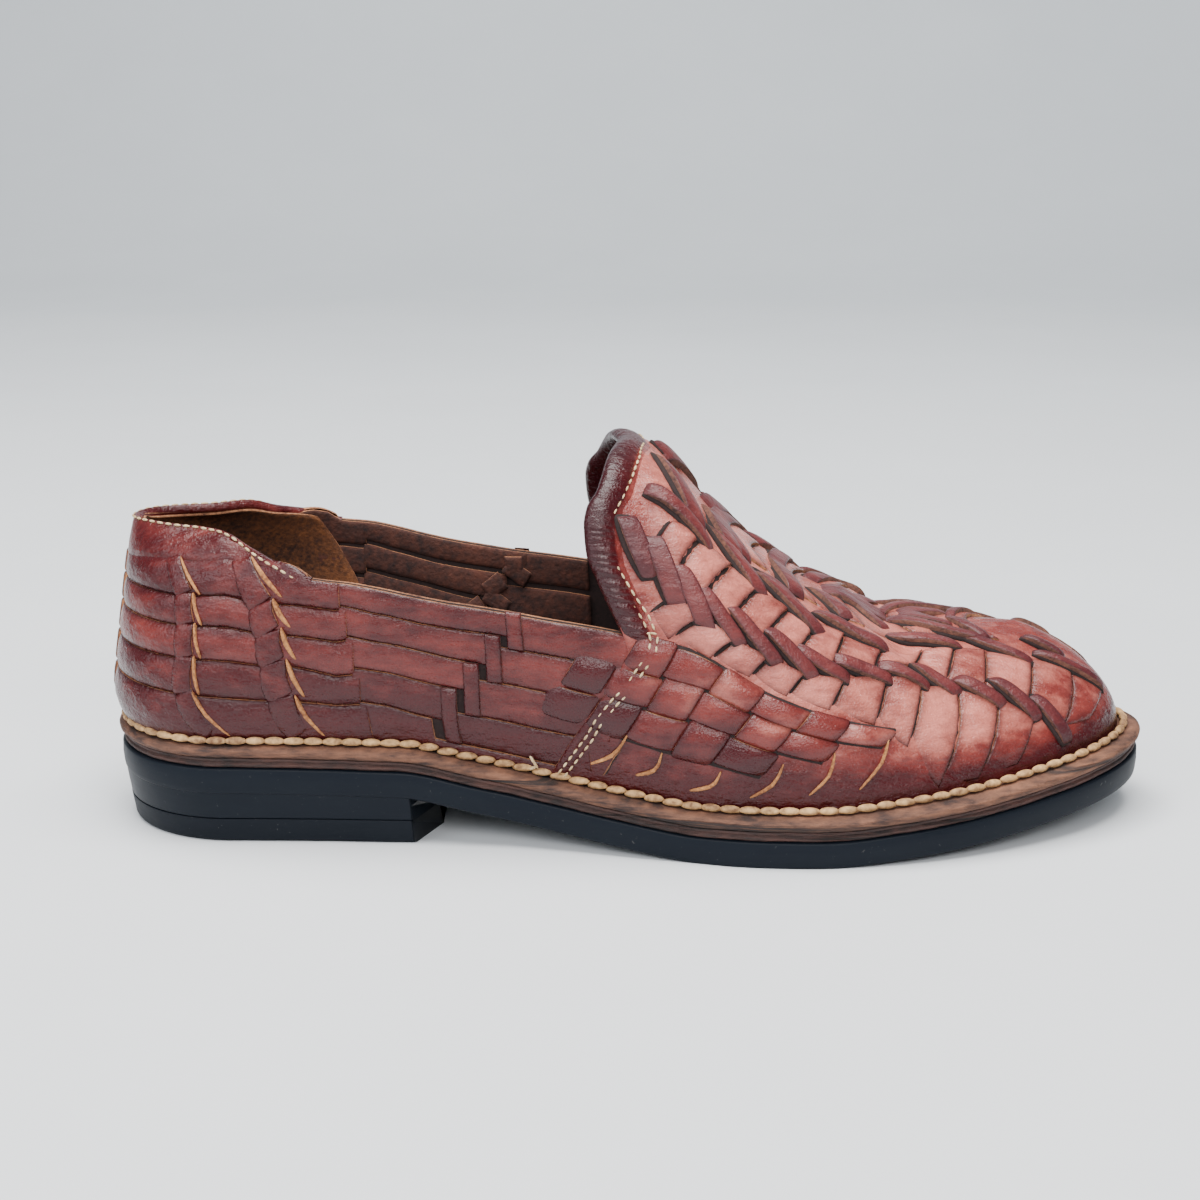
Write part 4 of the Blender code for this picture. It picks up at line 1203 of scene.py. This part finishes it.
def make_seams():
    bm = bmesh.new()
    for side in (1, -1):
        line, loose_end = (
            [(side * u, v) for u, v in (on_map(*place) for place in places)]
            for places in (SEAM_LINE, LOOSE_END)
        )
        for shift in (-SEAM_ROW_GAP / 2, SEAM_ROW_GAP / 2):
            thread_line(bm, line, seam_lift, shift, *SEAM_STITCH)
        thread_line(bm, loose_end, seam_lift, 0.0, *LOOSE_STITCH)
    reach = map_u(0.195)
    line = [(u, rim_v(u) - 0.0017) for u in np.linspace(-reach, reach, 90)]
    thread_line(bm, line, lambda u, v: COLLAR_THREAD_LIFT, 0.0, *COLLAR_STITCH)
    make_piece(bm, "upper_seam_stitches", (thread,))


make_seams()

# %% [markdown]
# ## Welt, midsole and outsole
# Each layer of the sole is one closed skin: a cross-section that is swept from the heel to the toe
# along the outline. At the toe and the heel the section closes to nothing. The heel's own layers
# end in a flat face under the arch.

# %% Sweeping a layer
SWEEP_STEPS = 220


def section_shares(last_share, count):
    """Shares along the sole, closest together at both tips."""
    even = np.linspace(0, 1, count)
    if last_share < 1:
        return last_share * (1 - np.cos(math.pi / 2 * even))
    return (1 - np.cos(math.pi * even)) / 2


def make_layer(name, rows, materials, last_share=1.0, ripple=None):
    """rows give inset and height function, from the top's middle round the edge to the bottom's."""
    bm = bmesh.new()
    around = 2 * len(rows)
    bmesh.ops.create_grid(bm, x_segments=SWEEP_STEPS, y_segments=around, size=0.5)
    shares = section_shares(last_share, SWEEP_STEPS + 1)
    for vertex in bm.verts:
        share = shares[round((vertex.co.x + 0.5) * SWEEP_STEPS)]
        k = round((vertex.co.y + 0.5) * around) % around
        side = -1 if k < len(rows) else 1
        k = min(k, around - 1 - k)
        inset, height = rows[k]
        x, y = (float(value) for value in sole_edge(np.array(share), side, inset))
        if ripple is not None:
            y += side * ripple(x, side, k)
        vertex.co = (x, y, height(x))
    bmesh.ops.remove_doubles(bm, verts=bm.verts, dist=2e-5)
    open_edges = [edge for edge in bm.edges if len(edge.link_faces) == 1]
    if open_edges:
        bmesh.ops.holes_fill(bm, edges=open_edges, sides=0)
    bmesh.ops.recalc_face_normals(bm, faces=bm.faces)
    piece = make_piece(bm, name, materials)
    piece.modifiers.new("crisp edges", "WEIGHTED_NORMAL").keep_sharp = True
    return piece


def above_tread(amount):
    return lambda x: float(tread_height(np.array(x))) + amount


OUTSOLE_STEP = 0.0006
HEEL_TAPER = 0.0022
TOP_LIFT_THICKNESS = 0.0072
# How far from the edge the flat inside of each layer begins
INNER = 0.0200
MIDSOLE_TOP = OUTSOLE_THICKNESS + MIDSOLE_THICKNESS
WELT_TOP = MIDSOLE_TOP + WELT_THICKNESS
print("the welt's top is", round(WELT_TOP * 1000, 1), "mm above the tread")

# %% [markdown]
# ## Finishes of the sole
# The welt is brown leather with a brushed, fibrous cut edge. The midsole is dark leather board
# with split, ragged lines. The rubber is satin black with a blue cast, dusty and lightly scratched.

# %% Sole materials
BLACK = (0.0, 0.0, 0.0)
WHITE = (1.0, 1.0, 1.0)
RUBBER_FILM = (0.060, 0.070, 0.085, 1.0)
RUBBER_DUST = (0.19, 0.18, 0.17, 1.0)


def layered_edge(name, dark, light, lines, depth, rough):
    """Leather cut edge: long fibres that follow the edge, and split lines."""
    material, tree, shader = start_material(name)
    fibres = noise(tree, 420, stretch=(0.40, 0.40, 2.2), detail=8.0)
    patches = noise(tree, 40, detail=3.0)
    mix = calculate(tree, "ADD", scaled(tree, fibres, 0.55), scaled(tree, patches, 0.45))
    colour = ramp(tree, mix, ((0.40, dark), (0.64, light)))
    splits = ramp(tree, noise(tree, lines, stretch=(0.05, 0.05, 3.0), detail=4.0),
                  ((0.33, BLACK), (0.41, WHITE)))
    colour = blend_colours(tree, splits, (0.012, 0.006, 0.005, 1.0), colour)
    height = calculate(tree, "ADD", fibres, splits)
    fine = bump(tree, noise(tree, 1100, detail=4.0), 0.00040)
    normal = bump(tree, height, depth, fine)
    connect(tree, shader, {"Base Color": colour, "Roughness": rough, "Normal": normal})
    return material


WELT_TAN = (0.200, 0.082, 0.043)
WELT_DARK = (0.020, 0.007, 0.005)
BOARD_BROWN = (0.075, 0.028, 0.020)
BOARD_DARK = (0.012, 0.005, 0.004)
welt_edge = layered_edge("welt_edge_leather", WELT_DARK, WELT_TAN, 120, 0.00050, 0.75)
midsole_edge = layered_edge("midsole_edge_leather", BOARD_DARK, BOARD_BROWN, 330, 0.00060, 0.7)


print("the welt and the midsole have their cut edges")


# %% Rubber
def rubber(name, colour, rough):
    """Satin rubber under a thin film of dust and a few pale specks."""
    material, tree, shader = start_material(name)
    dust = ramp(tree, noise(tree, 900, detail=5.0), ((0.66, BLACK), (0.78, WHITE)))
    film = scaled(tree, noise(tree, 28, stretch=(1.0, 1.0, 3.0)), 0.07)
    dull = blend_colours(tree, film, (*colour, 1.0), RUBBER_FILM)
    dusty = blend_colours(tree, scaled(tree, dust, 0.30), dull, RUBBER_DUST)
    lines = noise(tree, 500, stretch=(0.06, 0.06, 1.0), detail=2.0)
    connect(tree, shader, {
        "Base Color": dusty, "Roughness": scaled(tree, noise(tree, 70), 0.22, rough - 0.11),
        "Normal": bump(tree, lines, 0.00006), "Specular IOR Level": 0.13,
    })
    return material


sole_rubber = rubber("outsole_black_rubber", (0.0026, 0.0048, 0.0090), 0.46)
heel_rubber = rubber("heel_black_rubber", (0.0024, 0.0046, 0.0086), 0.42)
lift_rubber = rubber("top_lift_black_rubber", (0.0022, 0.0040, 0.0075), 0.50)
print("sole finishes are ready")


# %% Welt, midsole and outsole
def uneven_edge(amount):
    """A slightly ragged edge, from three waves of given lengths."""
    def ripple(x, side, row):
        long, middle, short = (x * turns for turns in (410, 1130, 2570))
        wave = math.sin(long + side) + 0.6 * math.sin(middle + 2 * side + row) + 0.4 * math.sin(short)
        return amount * wave / 2
    return ripple


def section(top, rows):
    """A cross-section from pairs of inset and depth below the layer's top."""
    return [(inset, above_tread(top - depth)) for inset, depth in rows]


welt_rows = section(WELT_TOP, (
    (INNER, 0.0002), (0.0085, 0.0001), (0.0055, 0.0), (0.0030, 0.0001), (0.0012, 0.0004),
    (0.0003, 0.0010), (0.0000, 0.0017), (0.0002, 0.0026), (0.0008, 0.0033), (INNER, 0.0034),
))
welt = make_layer("welt_strip", welt_rows, (welt_edge,), ripple=uneven_edge(0.00014))
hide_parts("welt")
midsole_rows = section(MIDSOLE_TOP, (
    (INNER, 0.0), (0.0021, 0.0), (0.0015, 0.0004), (0.0016, 0.0011), (0.0022, 0.0014),
    (0.0015, 0.0017), (0.0013, 0.0024), (0.0018, 0.0030), (INNER, 0.0030),
))
midsole = make_layer("midsole_board", midsole_rows, (midsole_edge,),
                     ripple=uneven_edge(0.00020))
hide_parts("midsole")
outsole_rows = section(OUTSOLE_THICKNESS, (
    (INNER, 0.0001), (0.0014, 0.0001), (0.0007, 0.0007), (0.0006, 0.0036), (0.0008, 0.0062),
    (0.0010, OUTSOLE_THICKNESS - 0.0004), (0.0013, OUTSOLE_THICKNESS), (INNER, OUTSOLE_THICKNESS),
))
outsole = make_layer("outsole_rubber", outsole_rows, (sole_rubber,))
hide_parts("outsole")

# %% The heel and the footbed
HEEL_END = HEEL_LENGTH / SOLE_LENGTH


def heel_inset(height):
    """The heel block narrows towards the floor."""
    return 2 * OUTSOLE_STEP + HEEL_TAPER * (1 - height / HEEL_HEIGHT)


def level(height):
    return lambda x: height


joint = TOP_LIFT_THICKNESS
heel_rows = (
    (INNER, above_tread(0.0004)), (heel_inset(HEEL_HEIGHT) + 0.0001, above_tread(0.0004)),
    (heel_inset(HEEL_HEIGHT), above_tread(0.0003)), (heel_inset(0.0118), level(0.0118)),
    (heel_inset(joint), level(joint + 0.0004)), (heel_inset(joint) + 0.0002, level(joint + 0.0001)),
    (INNER, level(joint + 0.0001)),
)
heel = make_layer("heel_block", heel_rows, (heel_rubber,), HEEL_END)
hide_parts("heel_stack")
lift_rows = (
    (INNER, level(joint)), (heel_inset(joint) + 0.0002, level(joint)),
    (heel_inset(joint), level(joint - 0.0003)), (heel_inset(0.0010), level(0.0012)),
    (heel_inset(0.0) + 0.0005, level(0.0002)), (heel_inset(0.0) + 0.0012, level(0.0)),
    (INNER, level(0.0)),
)
lift = make_layer("heel_top_lift", lift_rows, (lift_rubber,), HEEL_END)
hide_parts("top_lift")
insole_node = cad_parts["insole"]
insole_node.data.materials.clear()
insole_node.data.materials.append(footbed)

# %% [markdown]
# ## The welt's stitches
# A thick waxed thread runs round the shoe in the corner of welt and upper. Its stitches bulge
# like beads. Each bead is a low ball, a little longer than the pitch, so neighbours touch.

# %% Welt beads
BEAD_PITCH = 0.0054
BEAD_LENGTH = 0.0062
BEAD_WIDTH = 0.0025
BEAD_HEIGHT = 0.0026


def make_beads():
    bm = bmesh.new()
    shares = np.concatenate((section_shares(1.0, 400), section_shares(1.0, 400)[::-1]))
    sides = np.concatenate((-np.ones(400), np.ones(400)))
    points = []
    for share, side in zip(shares, sides):
        x, y = (float(value) for value in sole_edge(share, side, flange(share) - 0.0016))
        points.append((x, y, float(feather_height(x)) + 0.0011))
    places, headings = even_steps(points, BEAD_PITCH)
    for k, (place, ahead) in enumerate(zip(places, headings)):
        verts = bmesh.ops.create_uvsphere(bm, u_segments=12, v_segments=7, radius=0.5)["verts"]
        turn = math.atan2(ahead[1], ahead[0])
        length = BEAD_LENGTH + 0.0003 * math.sin(k * 2.1)
        for vertex in verts:
            x = vertex.co.x * length
            y = vertex.co.y * BEAD_WIDTH
            # A bead is flatter below than above
            z = vertex.co.z * BEAD_HEIGHT * (1.0 if vertex.co.z > 0 else 0.7)
            vertex.co = (place[0] + x * math.cos(turn) - y * math.sin(turn),
                         place[1] + x * math.sin(turn) + y * math.cos(turn), place[2] + z)
    print(len(places), "stitches round the welt")
    return make_piece(bm, "welt_beads", (bead_thread,))


make_beads()

# %% [markdown]
# ## Inside the quarter
# The rear of the shoe is lined with brown suede, and the lining's front edge sweeps down
# from the collar to the insole.

# %% Heel lining
LINING_HEIGHT = -0.0012
LINING_THICKNESS = 0.0007


def make_lining():
    bm = start_flat()
    bmesh.ops.create_grid(bm, x_segments=90, y_segments=24, size=0.5)
    for vertex in bm.verts:
        side = 2 * vertex.co.x
        rise = vertex.co.y + 0.5
        reach = map_u(0.180 + 0.095 * (1 - rise) ** 0.8)
        u = side * reach
        high = min(rim_v(u), rim_v(reach * 0.98 * math.copysign(1, u)) + 1.0)
        vertex.co = (u, rise * (high - 0.0010), LINING_HEIGHT)
    bmesh.ops.recalc_face_normals(bm, faces=bm.faces)
    add_wall(lay_piece(bm, "upper_heel_lining", suede, suede, raw_edge), LINING_THICKNESS)


make_lining()


# %% The backs of the side strips
BACK_GAP = 0.0012
BACK_LOOP_WIDTH = 0.0040


def make_strip_backs():
    """Inside, the same strips show their suede side, and the loops zigzag between them."""
    bm = start_flat()
    for row in range(5):
        keeper = keeper_along(row)
        spans = (
            (SIDE_REAR, 0.15, 0.235, 12), (SIDE_MIDDLE, 0.233, keeper + STRIP_LAP, 26),
            (SIDE_FRONT, keeper - STRIP_LAP, 0.470, 14),
        )
        for table, start, end, count in spans:
            pad_both(bm, side_place(table, row, start, end, BACK_GAP),
                     across_strip(0.0007 + 0.0002 * (row % 2), 0.0003), 0.0, count, 6, 0.0, (0.0, 1.0))
    for row in range(3):
        along = keeper_along(row)
        slit = read(SIDE_MIDDLE, along, row + 1)
        # The first loop ends below the rim
        rise = 0.055 if row else 0.024
        corners = (on_map(along, slit + rise), on_map(along - 0.018, slit + 0.020),
                   on_map(along + 0.004, slit - 0.012))
        for first, last in zip(corners, corners[1:]):
            pad_both(bm, ribbon((first, last), BACK_LOOP_WIDTH), crowned(0.0019, 0.0003, 0.0008),
                     0.0, 6, 10)
    for vertex in bm.verts:
        vertex.co.z = -vertex.co.z
    bmesh.ops.reverse_faces(bm, faces=bm.faces)
    lay_piece(bm, "upper_strip_backs", back_suede, raw_edge)


make_strip_backs()

# %% [markdown]
# ## The studio
# A pale blue-grey sweep of paper, one wide soft light from above, two weaker ones from the left
# and from the front, and one that lights the back of the sweep.

# %% The paper sweep
SWEEP_BACK = 1.3
SWEEP_RADIUS = 0.8


def make_sweep():
    bm = bmesh.new()
    bmesh.ops.create_grid(bm, x_segments=2, y_segments=80, size=3.0)
    for vertex in bm.verts:
        far = vertex.co.y - SWEEP_BACK
        if far > 0:
            angle = min(far / SWEEP_RADIUS, math.pi / 2)
            above = max(0.0, far - SWEEP_RADIUS * math.pi / 2)
            vertex.co.z = SWEEP_RADIUS * (1 - math.cos(angle)) + above
            vertex.co.y = SWEEP_BACK + SWEEP_RADIUS * math.sin(angle)
    bmesh.ops.recalc_face_normals(bm, faces=bm.faces)
    mesh = bpy.data.meshes.new("paper_sweep")
    bm.to_mesh(mesh)
    bm.free()
    mesh.shade_smooth()
    material, tree, shader = start_material("paper")
    papers = ((0.3, (0.68, 0.70, 0.72)), (0.7, (0.71, 0.73, 0.75)))
    connect(tree, shader, {"Base Color": ramp(tree, noise(tree, 6, detail=4.0), papers),
                           "Roughness": 0.75})
    mesh.materials.append(material)
    sweep = bpy.data.objects.new("paper_sweep", mesh)
    bpy.context.scene.collection.objects.link(sweep)


make_sweep()
print("the paper turns up", SWEEP_BACK, "m behind the shoe")

# %% Light and sky
SKY = (0.70, 0.78, 0.86, 1.0)
SKY_STRENGTH = 0.28
# Name, place, target, size, watts and colour
LIGHTS = (
    ("soft_top", (0.05, -0.10, 1.20), (0.10, 0.0, 0.0), (1.1, 0.8), 36.0, (1.0, 0.98, 0.96)),
    ("soft_left", (-0.9, -0.7, 0.7), (0.10, 0.0, 0.05), (0.8, 0.8), 9.0, (0.92, 0.96, 1.0)),
    ("soft_front", (0.2, -1.2, 0.80), (0.10, 0.0, 0.04), (1.3, 0.5), 16.0, (1.0, 1.0, 1.0)),
    ("soft_back", (0.3, 0.5, 1.5), (0.3, 2.1, 0.7), (2.0, 0.6), 22.0, (0.92, 0.97, 1.0)),
)


def add_light(name, place, target, size, power, colour):
    data = bpy.data.lights.new(name, "AREA")
    data.shape = "RECTANGLE"
    data.size, data.size_y = size
    data.energy = power
    data.color = colour
    lamp = bpy.data.objects.new(name, data)
    lamp.location = place
    lamp.rotation_euler = (Vector(target) - Vector(place)).to_track_quat("-Z", "Y").to_euler()
    bpy.context.scene.collection.objects.link(lamp)


for light in LIGHTS:
    add_light(*light)
world = bpy.data.worlds.new("pale_sky")
world.use_nodes = True
background = world.node_tree.nodes["Background"]
background.inputs["Color"].default_value = SKY
background.inputs["Strength"].default_value = SKY_STRENGTH
bpy.context.scene.world = world
print("the studio is lit")
